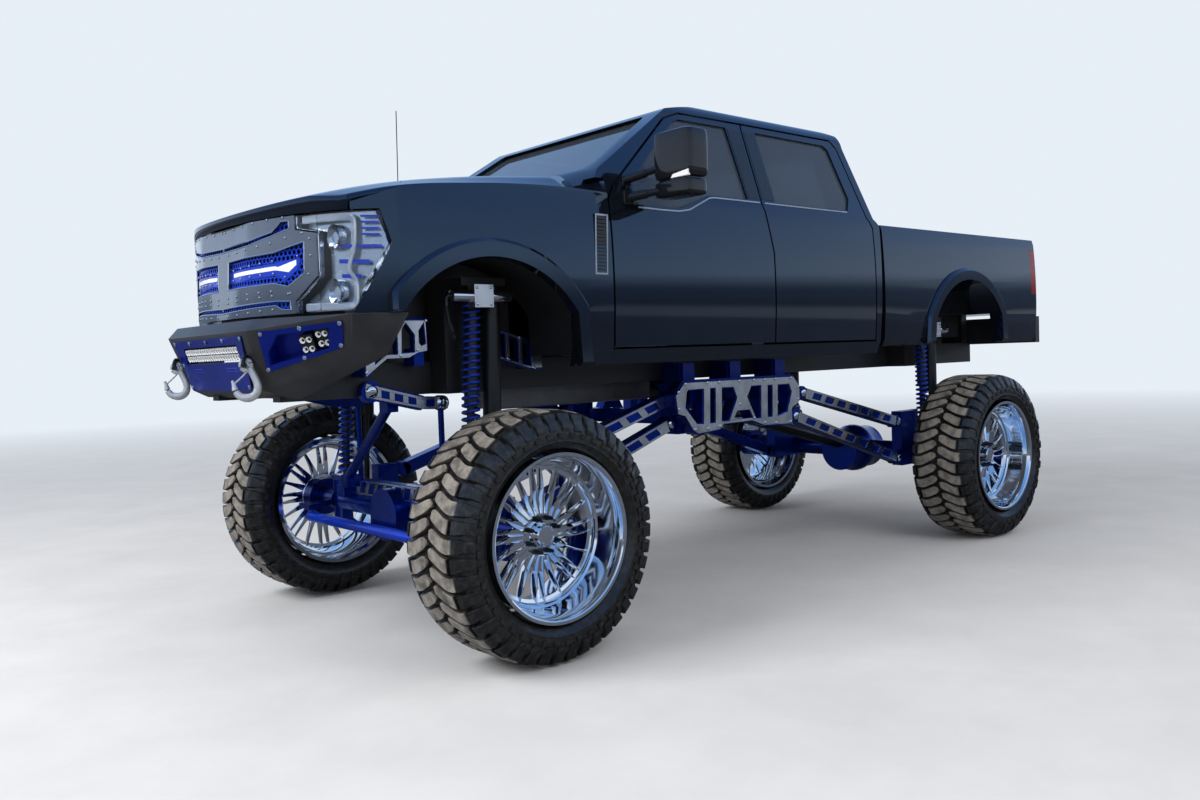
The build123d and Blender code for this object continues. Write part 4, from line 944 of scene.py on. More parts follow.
class PICKUP_OT_body(bpy.types.Operator):
    """Painted panels of the cab, doors, fenders, hood and bed"""
    bl_idname = "pickup.body"
    bl_label = "Body panels"

    def execute(self, context):
        for node, finish, slot, edge in BODY_SKINS:
            skin(node, FINISH[finish], edge, angle=28)
        hood = piece("hood_sheet", [hood_sheet()], FINISH["body"], "hood", ("hood",),
                     angle=50)
        thick = hood.modifiers.new("thickness", "SOLIDIFY")
        thick.thickness = 0.034
        thick.offset = -1.0
        for side, name in ((1, "left"), (-1, "right")):
            flip = np.array((1, side, 1))
            for row, path, pillar in BELT:
                trim = swept(along_side(path, 0.0005) * flip, TRIM_SECTION * (side, 1), (0, 1, 0),
                             (0, 0, 1))
                piece(f"belt_trim_{row}_{name}", [trim], FINISH["satin"], f"door_{row}_{name}",
                      edge=0.001)
                low, high = along_side(pillar[:2], 0.0), along_side(pillar[2:], 0.0)
                face = np.concatenate((low, high)) * flip
                piece(f"pillar_trim_{row}_{name}",
                      [slab(face, np.array((0, side * 0.95, 0.3)), -0.001, 0.0022)], FINISH["gloss"],
                      f"door_{row}_{name}", edge=0.001)
            flat = np.eye(3)
            head = [pad(mm((-925, 1200, 2390))[0], (0.15, 0.26, 0.25), flat, 0),
                    pad(mm((-925, 1194, 2221))[0], (0.144, 0.248, 0.082), flat, 0),
                    pad(mm((-925, 1194, 2262))[0], (0.12, 0.21, 0.05), flat, 0)]
            for low, high in (((-775, 925, 2290), (-890, 1120, 2345)), ((-760, 955, 2195), (-890, 1120, 2225))):
                reach = mm(low, high)
                path = reach[0] + (reach[1] - reach[0]) * np.array((0, 0.56, 0.58, 1))[:, None]
                head.append(tube(path, (0.024, 0.024, 0.0185, 0.0185), 16))
            head += [box((-795, -725), (935, 985), (2165, 2230)), box((-815, -755), (900, 945), (2262, 2312))]
            piece(f"mirror_head_{name}", [(p * flip, f) for p, f in head], FINISH["gloss"],
                  f"door_front_{name}", (f"mirror_{name}",), edge=0.004, angle=40,
                  weld=True)
            backs = [slab(mm(*[(-994, y, z) for y, z in outline]) * flip, np.array((-1.0, 0, 0)), 0, 0.006)
                     for outline in (((1090, 2290), (1310, 2290), (1310, 2490), (1090, 2490)),
                                     ((1092, 2196), (1296, 2196), (1296, 2246), (1092, 2246)))]
            piece(f"mirror_glass_{name}", backs, FINISH["mirror"], f"door_front_{name}",
                  edge=0.002)
            marker = mm((-868, 1196, 2268), (-868, 1316, 2268), (-868, 1318, 2298), (-868, 1212, 2286))
            piece(f"mirror_marker_{name}", [slab(marker * flip, np.array((1.0, 0, 0)), 0, 0.0185)],
                  FINISH["white"], f"door_front_{name}", edge=0.0015)
        outer, inner = VENT, VENT.mean(0) + (VENT - VENT.mean(0)) * (0.78, 1, 0.93)
        out = np.array((0, 1.0, 0))
        slats = [cuboid(mm((-556 - 0.06 * (z - 1948), 988.6, z))[0], (0.060, 0.004, 0.007))
                 for z in np.linspace(1822, 2074, 15)]
        piece("fender_vents", mirrored([slab_ring(outer, inner, out, -0.002, 0.005) + (0,)]
                                       + [slab(inner, out, -0.002, 0.0005) + (1,)]
                                       + [row + (1,) for row in slats]),
              [FINISH["satin"], FINISH["gloss"]], "chassis", edge=0.0012)
        arms = []
        for y0, y1 in ((0.62, 0.02), (-0.02, -0.62)):
            blade = np.array([(FRONT_AXLE - 0.735 - 0.11 * t, y0 + (y1 - y0) * t, 2.372 + 0.062 * t)
                              for t in np.linspace(0, 1, 12)])
            arm = np.array([(FRONT_AXLE - 0.70, y0, 2.352), (FRONT_AXLE - 0.735, y0 - 0.10, 2.385),
                            (FRONT_AXLE - 0.79, (y0 + y1) / 2, 2.412)])
            arms += [tube(blade, 0.006, 6), tube(arm, 0.0055, 6)]
        piece("wipers", arms, FINISH["plastic"], "chassis")
        y = np.linspace(-0.712, 0.712, 229)
        wave = 1.6595 + 0.005 * np.clip(3.0 * np.cos(y * 2 * np.pi / 0.095), -1, 1)
        ends = np.array((-5.105, -3.105))
        points = np.stack((np.repeat(FRONT_AXLE + ends, len(y)), np.tile(y, 2),
                           np.tile(wave, 2)), -1)
        liner = piece("bed_floor_liner", [(points, grid(2, len(y)))], FINISH["liner_spray"],
                      "chassis")
        thick = liner.modifiers.new("thickness", "SOLIDIFY")
        thick.thickness = 0.002
        return {"FINISHED"}


class PICKUP_OT_glass(bpy.types.Operator):
    """Dark windows, windshield and rear window"""
    bl_idname = "pickup.glass"
    bl_label = "Glass"

    def execute(self, context):
        for node, finish, slot in GLASS_SKINS:
            skin(node, FINISH[finish], angle=28)
        return {"FINISHED"}


# top and foot of each coil-over on the left, and its number of turns
COIL_OVERS = (
    (mm((5, 650, 1747.9))[0], mm((60, 650, 691.3))[0], 26),
    (mm((-4020, 650, 1548.9))[0], mm((-4040, 650, 700.8))[0], 21),
)
SHOCK_TOPS = mm((20, 780.2, 1697), (-4040, 780.2, 1497))
TRUSS_BOLTS = mm(
    (-1412, 651, 1160), (-1412, 651, 1062), (-1470, 651, 1205), (-1548, 651, 932), (-1660, 651, 1205),
    (-1660, 651, 930), (-1765, 651, 1205), (-1765, 651, 938), (-1950, 651, 1204), (-1950, 651, 1060),
    (-2085, 651, 1204), (-2085, 651, 966), (-2190, 651, 1203), (-2190, 651, 930), (-2300, 651, 1203),
    (-2300, 651, 922), (-2455, 651, 1203), (-2450, 651, 918), (-2530, 651, 1140), (-2530, 651, 1062))
HORN_BOLTS = mm((210, 552, 1590), (265, 552, 1450), (360, 552, 1590), (356, 552, 1424), (452, 552, 1420),
                (540, 552, 1350), (-175, 552, 1545), (-175, 552, 1412), (-275, 552, 1392),
                (-355, 552, 1500), (-440, 552, 1480), (-440, 552, 1340))
# Upright plates, seen from the side: outline, windows, half widths of the blue plate's faces
PLATES = (
    (((-1387, 1149), (-1461, 1227), (-2495, 1224), (-2558, 1153), (-2558, 1050), (-2473, 1006),
      (-2473, 898), (-2187, 907), (-2070, 948), (-1798, 943), (-1764, 912), (-1571, 898),
      (-1530, 919), (-1462, 1017), (-1402, 1035)),
     (((-1489, 1151), (-1500, 1165), (-1630, 1166), (-1621, 967), (-1563, 971), (-1475, 1066)),
      ((-1689, 1166), (-1737, 1166), (-1729, 966), (-1681, 966)),
      ((-1797, 1165), (-1897, 1164), (-1929, 1100), (-1855, 969), (-1788, 970)),
      ((-1932, 1020), (-2044, 1020), (-2075, 969), (-1897, 969)),
      ((-2030, 1100), (-2070, 1163), (-2160, 1163), (-2153, 967), (-2106, 967)),
      ((-2227, 1160), (-2274, 1160), (-2267, 968), (-2220, 968)),
      ((-2331, 1160), (-2442, 1160), (-2466, 1110), (-2420, 990), (-2322, 968))), 560, 640),
    (((203, 1601), (199, 1446), (250, 1438), (307, 1412), (431, 1410), (480, 1375), (548, 1324),
      (549, 1380), (505, 1410), (430, 1601)),
     (((221, 1580), (214, 1480), (240, 1470), (252, 1485), (252, 1540)),
      ((320, 1577), (276, 1522), (278, 1442), (348, 1438), (342, 1547)),
      ((372, 1580), (372, 1432), (432, 1432), (490, 1388), (488, 1405), (420, 1580))), 505, 541),
    (((-165, 1555), (-278, 1534), (-342, 1510), (-500, 1470), (-500, 1331), (-415, 1331),
      (-165, 1405)),
     (((-190, 1530), (-262, 1517), (-262, 1398), (-190, 1420)),
      ((-285, 1510), (-345, 1488), (-345, 1372), (-285, 1390)),
      ((-368, 1482), (-425, 1468), (-425, 1350), (-368, 1365))), 505, 541),
)
FACE_SHARES = ((0.985, 0.93), (0.95, 0.935), (0.95, 0.92))
# half width of each link's middle, then station and height of its two eyes
LINKS = ((515, (-1443.7, 1120), (-235.3, 760)), (515, (-1443.7, 970), (-235.3, 550)),
         (600, (-2603.3, 1098), (-3714.7, 830)), (600, (-2518.3, 950), (-3714.7, 560)))
LINK_ENDS = mm((-1443.7, 556, 1120), (-235.3, 556, 760), (-1443.7, 556, 970), (-235.3, 556, 550),
               (-2603.3, 641, 1098), (-3714.7, 641, 830), (-2518.3, 641, 950), (-3714.7, 641, 560))


def coil(top, foot, turns):
    """A round wire wound about a line. Along t from 0 to 1 a point = top + (0.05 + 0.86 t) run
    + 0.0396 (cos a u + sin a v), with a = 2 pi turns t and u, v square to the run."""
    run = foot - top
    way = unit(run)
    u = unit(np.cross(way, (0, 1.0, 0)))
    v = np.cross(way, u)
    t = np.linspace(0, 1, turns * 16 + 1)[:, None]
    a = 2 * np.pi * turns * t
    path = top + (0.055 + 0.85 * t) * run + 0.0396 * (np.cos(a) * u + np.sin(a) * v)
    return tube(path, 0.0082, 8)


class PICKUP_OT_chassis(bpy.types.Operator):
    """Frame, brackets, axles, links, springs, shocks and steering"""
    bl_idname = "pickup.chassis"
    bl_label = "Chassis and suspension"

    def execute(self, context):
        for node, finish, slot, edge in CHASSIS_SKINS:
            skin(node, FINISH[finish], edge)

        blue, polished = [], []
        for (outline, windows, inner, outer), share in zip(PLATES, FACE_SHARES):
            blue.append(cut_plate(outline, windows, inner, outer))
            polished.append(cut_plate(scaled(outline, share),
                                      [scaled(window, 1.07) for window in windows],
                                      outer - 1, outer + 10))
        blue += [box((x - 60, x + 60), (410, 562), (1080, 1330)) for x in (-1580, -2000, -2440)]
        blue += [box((x - 50, x + 50), (560, 580), (1220, 1330)) for x in (-1580, -2000, -2440)]
        blue += [box((-1600, -1489), (410, 562), (905, 1206))]
        blue += [box((x - 28, x + 28), (410, 507), heights)
                 for x, heights in ((230, (1372, 1460)), (515, (1330, 1390)), (-455, (1335, 1391)))]
        across = [box((x - 45, x + 45), (-560, 560), (low, low + 90))
                  for x, low in ((-1740, 943), (-2385, 1085))]
        piece("lift_plates", mirrored(blue) + across, FINISH["candy"], "chassis",
              ("lift_brackets",), edge=0.0015)
        for x, z in ((20, 1697), (-4040, 1497)):
            polished += [box((x - 55, x + 55), (720.3, 780), (z - 55, z + 55)),
                         box((x - 40, x + 40), (700, 730), (z + 20, z + 53)),
                         tube(mm((x - 165, 750, z), (x, 750, z), (x + 165, 750, z)), 0.028, 32)]
        piece("polished_plates", mirrored(polished), FINISH["plate"], "chassis",
              ("bracket_plates",), edge=0.0015)
        walls = [box((-4640, -3520), (600, 612), (1440, 1662))]
        piece("rear_arch_walls", mirrored(walls), FINISH["liner"], "chassis")

        arms, faces = [], []
        eye = ((0.0005, -0.038), (0.042, -0.038), (0.045, -0.035), (0.045, 0.035), (0.042, 0.038),
               (0.0005, 0.038))
        for y, start, end in LINKS:
            start, run = np.array(start), np.subtract(end, start)
            length = np.hypot(*run)
            way = run / length
            turned = np.array((way, (-way[1], way[0])))
            turned[1] *= np.sign(turned[1, 1])
            ladder = [(np.array(((-0.5, -22), (0.32, -22), (0.5, 22), (-0.32, 22)))
                       * (0.098 * length, 1) + ((0.13 + 0.123 * k) * length, 0)) @ turned + start
                      for k in range(7)]
            bar, rail = (np.array(((a, -h), (length - a, -h), (length - a, h), (a, h))) @ turned + start
                         for a, h in ((0, 37), (30, 34)))
            arms.append(cut_plate(bar, (), y - 38, y + 38))
            arms += [lathed(eye, mm((x, y, z))[0], (0, 1, 0), 40) for x, z in (start, start + run)]
            faces.append(cut_plate(rail, ladder, y + 37.5, y + 44))
        piece("link_arm_boxes", mirrored(arms), FINISH["candy"], "chassis",
              ("link_arms",), edge=0.003)
        rungs = [((x, 664), (x + 62, 664), (x + 88, 726), (x + 26, 726))
                 for x in np.arange(-4, 5) * 96 - 31]
        points, rung_faces = cut_plate(((-446, 654), (446, 654), (446, 736), (-446, 736)), rungs, 94, 101)
        across_axle = (points - (FRONT_AXLE, 0, 0))[:, (1, 0, 2)] + (FRONT_AXLE, 0, 0)
        piece("link_faces", mirrored(faces) + [(across_axle, rung_faces)], FINISH["plate"], "chassis",
              ("link_trim",), edge=0.001)

        wound, collars = [], []
        rim_ring = ((0.035, -0.006), (0.046, -0.006), (0.0478, -0.003), (0.0478, 0.003),
                    (0.046, 0.006), (0.035, 0.006))
        for top, foot, turns in COIL_OVERS:
            run = foot - top
            wound.append(coil(top, foot, turns))
            for share in (0.048, 0.912):
                collars.append(lathed(rim_ring, top + run * share, run, 32))
        piece("coil_springs_wound", mirrored(wound), FINISH["spring"], "chassis",
              ("coil_springs",))
        piece("spring_collars", mirrored(collars), FINISH["bright"], "chassis")

        heads = studs(TRUSS_BOLTS, (0, 1, 0), 0.0095, 0.006, 12)
        heads += studs(HORN_BOLTS, (0, 1, 0), 0.008, 0.005, 12)
        corners = np.array(((-0.04, 0, -0.04), (0.04, 0, -0.04), (0.04, 0, 0.04), (-0.04, 0, 0.04)))
        heads += studs((SHOCK_TOPS[:, None] + corners).reshape(-1, 3), (0, 1, 0), 0.0075, 0.004, 12)
        heads += studs(LINK_ENDS, (0, 1, 0), 0.027, 0.010, 18)
        heads += studs(mm((468, 459, 1257), (75, 459, 1183)), (0, 1, 0), 0.032, 0.012, 20)
        piece("chassis_bolts", mirrored(heads), FINISH["chrome"], "chassis")

        barrel = ((0.0282, -0.168), (0.0295, -0.165), (0.0295, -0.060), (0.0282, -0.058))
        tubes = [lathed([(r, way * h) for r, h in barrel], top * (1, 0, 1) + (0, 0.750, 0),
                        (1, 0, 0), 40) + (0,) for top in SHOCK_TOPS for way in (1, -1)]
        fittings = []
        for top in SHOCK_TOPS:
            start = top * (1, 0, 1) + (0.165, 0.750, 0)
            bend = start + mm((0, 0, 0), (26, 0, 2), (40, 6, -12), (42, 10, -50), (30, 10, -120),
                              (8, 6, -170), (-6, 0, -200)) - (FRONT_AXLE, 0, 0)
            fittings += [tube(bend[:4], 0.013, 12) + (1,), tube(dense(bend[3:], 0.02), 0.009, 10) + (1,)]
        piece("shock_top_tubes", mirrored(tubes + fittings), [FINISH["wheel"], FINISH["shock"]],
              "chassis")

        arm = mm((496, 0, 1264), (420, 0, 1245), (190, 0, 1188), (48, 0, 1182))
        half = np.array(((0, 0, 0.033), (0, 0, 0.031), (0, 0, 0.028), (0, 0, 0.029)))
        out = np.array((0, 1.0, 0))
        rails = []
        for way in (1, -1):
            rail = np.concatenate((arm + half * way, (arm + half * way * 0.62)[::-1]))
            rails.append(slab(rail + (0, 0.4585, 0), out, -0.001, 0.003))
        for x0, x1 in ((500, 418), (373, 347), (300, 272), (227, 172), (124, 46)):
            web = mm((x0, 458.5, 0), (x1, 458.5, 0), (x1, 458.5, 0), (x0, 458.5, 0))
            tall = np.interp(-web[:, 0], -arm[:, 0], half[:, 2]) * 0.66
            web[:, 2] = np.interp(-web[:, 0], -arm[:, 0], arm[:, 2]) + tall * (1, 1, -1, -1)
            rails.append(slab(web, out, -0.001, 0.003))
        piece("sway_arm_faces", mirrored(rails), FINISH["plate"], "chassis")
        return {"FINISHED"}


def line(*points):
    """A row of (half width, height) points in millimetres, brought to metres."""
    return np.array(points, float) / 1000


# The grille's openings on its left half: top line and low line of each
OPENINGS = (
    (line((0, 1958), (284, 1964), (463, 1988), (525, 2029), (570, 2027)),
     line((0, 1938), (282, 1944), (452, 1969), (568, 1992), (570, 2026))),
    (line((60, 1889), (465, 1897), (650, 1930)),
     line((60, 1757), (464, 1761), (550, 1742), (645, 1794), (650, 1928))),
    (line((0, 1672), (279, 1680), (475, 1682), (558, 1677), (560, 1640)),
     line((0, 1649), (278, 1659), (465, 1663), (507, 1643), (560, 1640))),
)
# The grille's surround in strips between the same lines
SURROUND = (
    (line((0, 2047), (570, 2047)), line((0, 1958), (284, 1964), (463, 1988), (525, 2029), (570, 2027))),
    (line((570, 2047), (602, 2047)), line((570, 1915), (602, 1921))),
    (line((0, 1938), (282, 1944), (452, 1969), (568, 1992), (570, 1992)),
     line((0, 1889), (60, 1889), (465, 1897), (570, 1915))),
    (line((0, 1889), (60, 1889)), line((0, 1757), (60, 1757))),
    (line((602, 1983), (718, 1961)), line((602, 1921), (650, 1930), (718, 1930))),
    (line((648, 1930), (718, 1930)), line((648, 1797), (718, 1797))),
    (line((0, 1757), (464, 1761), (550, 1742), (648, 1797), (718, 1797)),
     line((0, 1672), (279, 1680), (475, 1682), (558, 1677), (588, 1676), (718, 1777))),
    (line((560, 1677), (588, 1676)), line((560, 1622), (588, 1622))),
    (line((0, 1649), (278, 1659), (465, 1663), (507, 1643), (560, 1640)), line((0, 1622), (560, 1622))),
)
GRILLE_RIVETS = line(
    (18, 2034), (120, 2036), (225, 2038), (330, 2040), (435, 2044), (535, 2044),
    (60, 1924), (160, 1926), (260, 1930), (356, 1934), (448, 1940), (545, 1955), (640, 1968),
    (682, 1940), (684, 1868), (668, 1788),
    (60, 1720), (160, 1722), (260, 1725), (352, 1727), (440, 1727), (548, 1710),
    (60, 1697), (160, 1700), (260, 1702), (356, 1705), (445, 1706),
    (60, 1634), (160, 1636), (260, 1640), (356, 1644), (445, 1646), (560, 1712),
)
BAR_RIVETS = line((100, 1846), (185, 1850), (270, 1854), (355, 1858), (443, 1862), (100, 1800),
                  (185, 1802), (270, 1804), (355, 1806), (445, 1806), (520, 1786), (598, 1872))
BAR = (line((-611, 1866), (-463, 1852), (-83, 1842), (83, 1842), (463, 1852), (611, 1866)),
       line((-611, 1845), (-608, 1841), (-590, 1810), (-515, 1765), (-466, 1796), (-84, 1789),
            (84, 1789), (466, 1796), (515, 1765), (590, 1810), (608, 1841), (611, 1845)))
ARROW = (line((104, 1832), (460, 1838), (478, 1833), (590, 1856)),
         line((104, 1814), (459, 1820), (476, 1818), (544, 1806), (590, 1834)))


def hex_mesh(openings, pitch, inset):
    """Rings of six quads between hexagons of 0.577 and 0.41 pitch round each hole's middle;
    point = (nose station(y, z) - inset, y, z). Holes lie in rows 0.866 pitch apart, every
    second row shifted by half a pitch, and are kept where an opening lies."""
    kept = []
    for top, low in openings:
        for row, z in enumerate(np.arange(1.62, 2.06, pitch * 0.866)):
            ys = np.arange(-0.75, 0.75, pitch) + (row % 2) * pitch / 2
            wide = np.abs(ys)
            inside = ((wide > top[0, 0] - pitch) & (wide < top[-1, 0] + pitch * 0.6)
                      & (z < np.interp(wide, *top.T) + pitch * 0.6)
                      & (z > np.interp(wide, *low.T) - pitch * 0.6))
            kept.append(np.stack((ys[inside], np.full(inside.sum(), z)), -1))
    middles = np.concatenate(kept)
    turn = np.arange(6) * np.pi / 3 + np.pi / 6
    way = np.stack((np.cos(turn), np.sin(turn)), -1)
    rims = np.concatenate((way * 0.5775, way * 0.41)) * pitch
    points = (middles[:, None] + rims).reshape(-1, 2)
    one = [[j, (j + 1) % 6, 6 + (j + 1) % 6, 6 + j] for j in range(6)]
    faces = [[v + k * 12 for v in face] for k in range(len(middles)) for face in one]
    return on_nose(points, inset), faces


# The lamp on the left in three strips: under the grille's corner, above it, and the rest
LAMP = (
    (line((592, 1672), (722, 1770)), line((592, 1626), (722, 1626))),
    (line((608, 2044), (722, 2044)), line((608, 1990), (722, 1967))),
    (line((722, 2044), (932, 2044), (943, 1905)), line((722, 1626), (874, 1626), (882, 1777), (943, 1893))),
)
LAMP_TUBE = line((628, 2024), (853, 2022), (849, 1894), (823, 1793), (853, 1746), (851, 1640),
                 (628, 1645))
LAMP_EDGE = line((594, 1628), (597, 1668), (724, 1772), (724, 1969), (610, 1991), (610, 2040))
STRIPES = (
    (line((876, 2026), (922, 2024)), line((876, 2017), (922, 2015))),
    (line((876, 2001), (922, 1999)), line((876, 1992), (922, 1990))),
    (line((876, 1975), (922, 1973)), line((876, 1966), (922, 1964))),
    (line((876, 1949), (922, 1947)), line((876, 1940), (922, 1938))),
    (line((806, 1905), (926, 1899)), line((806, 1892), (926, 1886))),
    (line((800, 1842), (898, 1836)), line((800, 1824), (896, 1818))),
    (line((808, 1778), (872, 1774)), line((808, 1762), (870, 1758))),
)


def eased(points, radius=0.012, count=5):
    """The same line with each inner corner replaced by a short curve through points
    b + (1-t)^2 (p - b) + t^2 (q - b), where p and q lie radius before and after corner b."""
    points = np.asarray(points, float)
    path = [points[:1]]
    t = np.linspace(0, 1, count)[:, None]
    for before, here, after in zip(points, points[1:], points[2:]):
        p, q = (here + unit(other - here) * min(radius, np.linalg.norm(other - here) / 2.2)
                for other in (before, after))
        path.append(here + (1 - t) ** 2 * (p - here) + t ** 2 * (q - here))
    return np.concatenate(path + [points[-1:]])


def dense(points, step=0.02):
    """A line cut into runs no longer than step."""
    parts = []
    for start, end in zip(points[:-1], points[1:]):
        count = max(1, int(np.ceil(np.linalg.norm(end - start) / step)))
        parts.append(start + (end - start) * (np.arange(count) / count)[:, None])
    return np.concatenate(parts + [points[-1:]])


class PICKUP_OT_front(bpy.types.Operator):
    """Grille, headlamps, rear bumper and tail lamps"""
    bl_idname = "pickup.front"
    bl_label = "Front and rear ends"

    def execute(self, context):
        sizes, _ = tools()
        for node, finish, slot, edge in FRONT_SKINS:
            skin(node, FINISH[finish], edge)

        mesh = piece("grille_honeycomb", [hex_mesh(OPENINGS, sizes.hex_pitch, 0.014)],
                     FINISH["bright"], "chassis", ("grille_mesh",))
        weld = mesh.modifiers.new("weld", "WELD")
        weld.merge_threshold = 0.0004
        thick = mesh.modifiers.new("thickness", "SOLIDIFY")
        thick.thickness = 0.006
        thick.offset = -1.0

        strips = [band(*strip, 0.0, 0.034) for strip in SURROUND]
        piece("grille_surround", mirrored(strips), FINISH["grille"], "chassis",
              ("grille",))
        loops = [np.concatenate((top, low[::-1], top[:1])) for top, low in OPENINGS]
        rims = [tube(on_nose(dense(loop), 0.001), 0.0032, 6) for loop in loops]
        piece("grille_rims", mirrored(rims), FINISH["steel"], "chassis")
        rivets = np.concatenate((GRILLE_RIVETS, BAR_RIVETS))
        rivets = np.concatenate((rivets, rivets * (-1, 1)))
        places = on_nose(rivets, np.tile(np.repeat((0.0015, 0.012),
                                                   (len(GRILLE_RIVETS), len(BAR_RIVETS))), 2))
        piece("grille_bar_face", [band(*BAR, 0.012, 0.004)], FINISH["bright"], "chassis",
              edge=0.001)
        piece("grille_arrow", mirrored([band(*ARROW, 0.010, 0.0025)]), FINISH["white"], "chassis")
        piece("grille_rivets", studs(places, (1, 0, -0.06), 0.0068, 0.005, 10), FINISH["chrome"],
              "chassis")

        back = [band(*strip, 0.062, 0.004) for strip in LAMP]
        piece("lamp_reflectors", mirrored(back), FINISH["reflector"], "chassis",
              ("headlamps",))
        piece("lamp_lenses", mirrored([band(*strip, 0.0035, 0.0025) for strip in LAMP]),
              FINISH["lens"], "chassis")
        curve = dense(eased(LAMP_TUBE, 0.03))
        bowls = [lathed(((0.052, 0.0), (0.056, 0.004), (0.050, 0.0), (0.034, -0.022), (0.012, -0.028),
                         (0.0, -0.028), (0.0, -0.034), (0.052, -0.034)),
                        on_nose([spot], 0.028)[0], (1, 0, 0), 40)
                 for spot in line((772, 1940), (770, 1705))]
        guide = on_nose(curve, 0.020)
        inward = unit(np.cross(np.gradient(guide, axis=0), (1, 0, 0)))
        flat = np.array(((-0.017, -0.006), (0.017, -0.006), (0.017, 0.0), (0.012, 0.004),
                         (-0.012, 0.004), (-0.017, 0.0)))
        piece("lamp_guides", mirrored([swept(guide, flat, inward, (1, 0, 0))]), FINISH["tube"],
              "chassis", edge=0.001)
        piece("lamp_bowls", mirrored(bowls), FINISH["reflector"], "chassis")
        piece("lamp_stripes", mirrored([band(*strip, 0.016, 0.003) for strip in STRIPES]),
              FINISH["bright"], "chassis")
        edge = dense(LAMP_EDGE)
        piece("lamp_edges", mirrored([tube(on_nose(edge, 0.008), 0.0045, 8)]), FINISH["chrome"],
              "chassis")
        return {"FINISHED"}


# Corners of the bumper's left half: top, front face, its lower crease, and below
TOP = mm((1036, 0, 1603), (1036, 480, 1603), (556, 985, 1606), (556, 0, 1606))
FACE = mm((1077, 502, 1551), (815, 961, 1603), (783, 892, 1446), (986, 446, 1286))
UNDER = mm((870, 560, 1245), (640, 930, 1423))
LIGHT_BAR = mm((1058, 334, 1497), (1036, 342, 1419))
CENTRE_PANEL = mm((1073, 429, 1533), (1008, 371, 1289))
WING_PANEL = mm((1049, 548, 1545), (832, 915, 1574), (808, 867, 1465), (989, 506, 1370),
                (1019, 527, 1458))
WING_OPENING = mm((993, 621, 1529), (861, 847, 1550), (843, 809, 1464), (987, 531, 1399),
                  (1002, 548, 1453))
WING_BOLTS = mm((1036, 554, 1536), (937, 728, 1554), (838, 901, 1566), (816, 863, 1474),
                (901, 689, 1428), (990, 517, 1382))
CENTRE_BOLTS = mm((1070, 415, 1522), (1070, 210, 1520), (1070, 0, 1518), (1012, 358, 1306),
                  (1040, 385, 1415))
PODS = mm((907, 722, 1480), (870, 797, 1503))
OPPOSITE = np.array((1, -1, 1))
HOOK_SWIVEL = np.array((-0.72, 0.69, 0.0))


def hook(side):
    """A sling hook hung from a shackle: a thickening round bar along a line through the points
    of its shank and bowl, in an upright plane turned towards the corner of the truck."""
    across = line((-4, 22), (10, 0), (26, -34), (44, -72), (50, -104), (36, -134), (2, -146),
                  (-34, -138), (-54, -112), (-58, -84), (-66, -66))
    curve = eased(across, 0.016, 4)
    radius = np.interp(np.linspace(0, 1, len(curve)), (0, 0.1, 0.3, 0.6, 0.85, 1),
                       (0.013, 0.015, 0.016, 0.019, 0.014, 0.006))
    eye = mm((1062, side * 443, 1404))[0]
    up = np.array((0, 0, 1.0))
    path = eye + curve[:, :1] * HOOK_SWIVEL + curve[:, 1:] * up
    turn = np.linspace(0, 2 * np.pi, 25)[:, None]
    ring_path = eye + 0.022 * (np.cos(turn) * HOOK_SWIVEL + np.sin(turn) * up)
    latch = eye + line((14, -18), (-20, -50), (-56, -80))[:, :1] * HOOK_SWIVEL + (
        line((14, -18), (-20, -50), (-56, -80))[:, 1:] * up)
    face = np.cross(HOOK_SWIVEL, up)
    bow = eye + 0.030 * (np.cos(turn[:13]) * face + np.sin(turn[:13]) * up * 1.35)
    pin = eye + np.array((-0.034, 0.034))[:, None] * face
    return [tube(path, radius, 12) + (0,), tube(ring_path, 0.0115, 10) + (0,),
            tube(latch, 0.004, 8) + (0,), tube(bow, 0.0095, 10) + (1,), tube(pin, 0.011, 12) + (1,)]


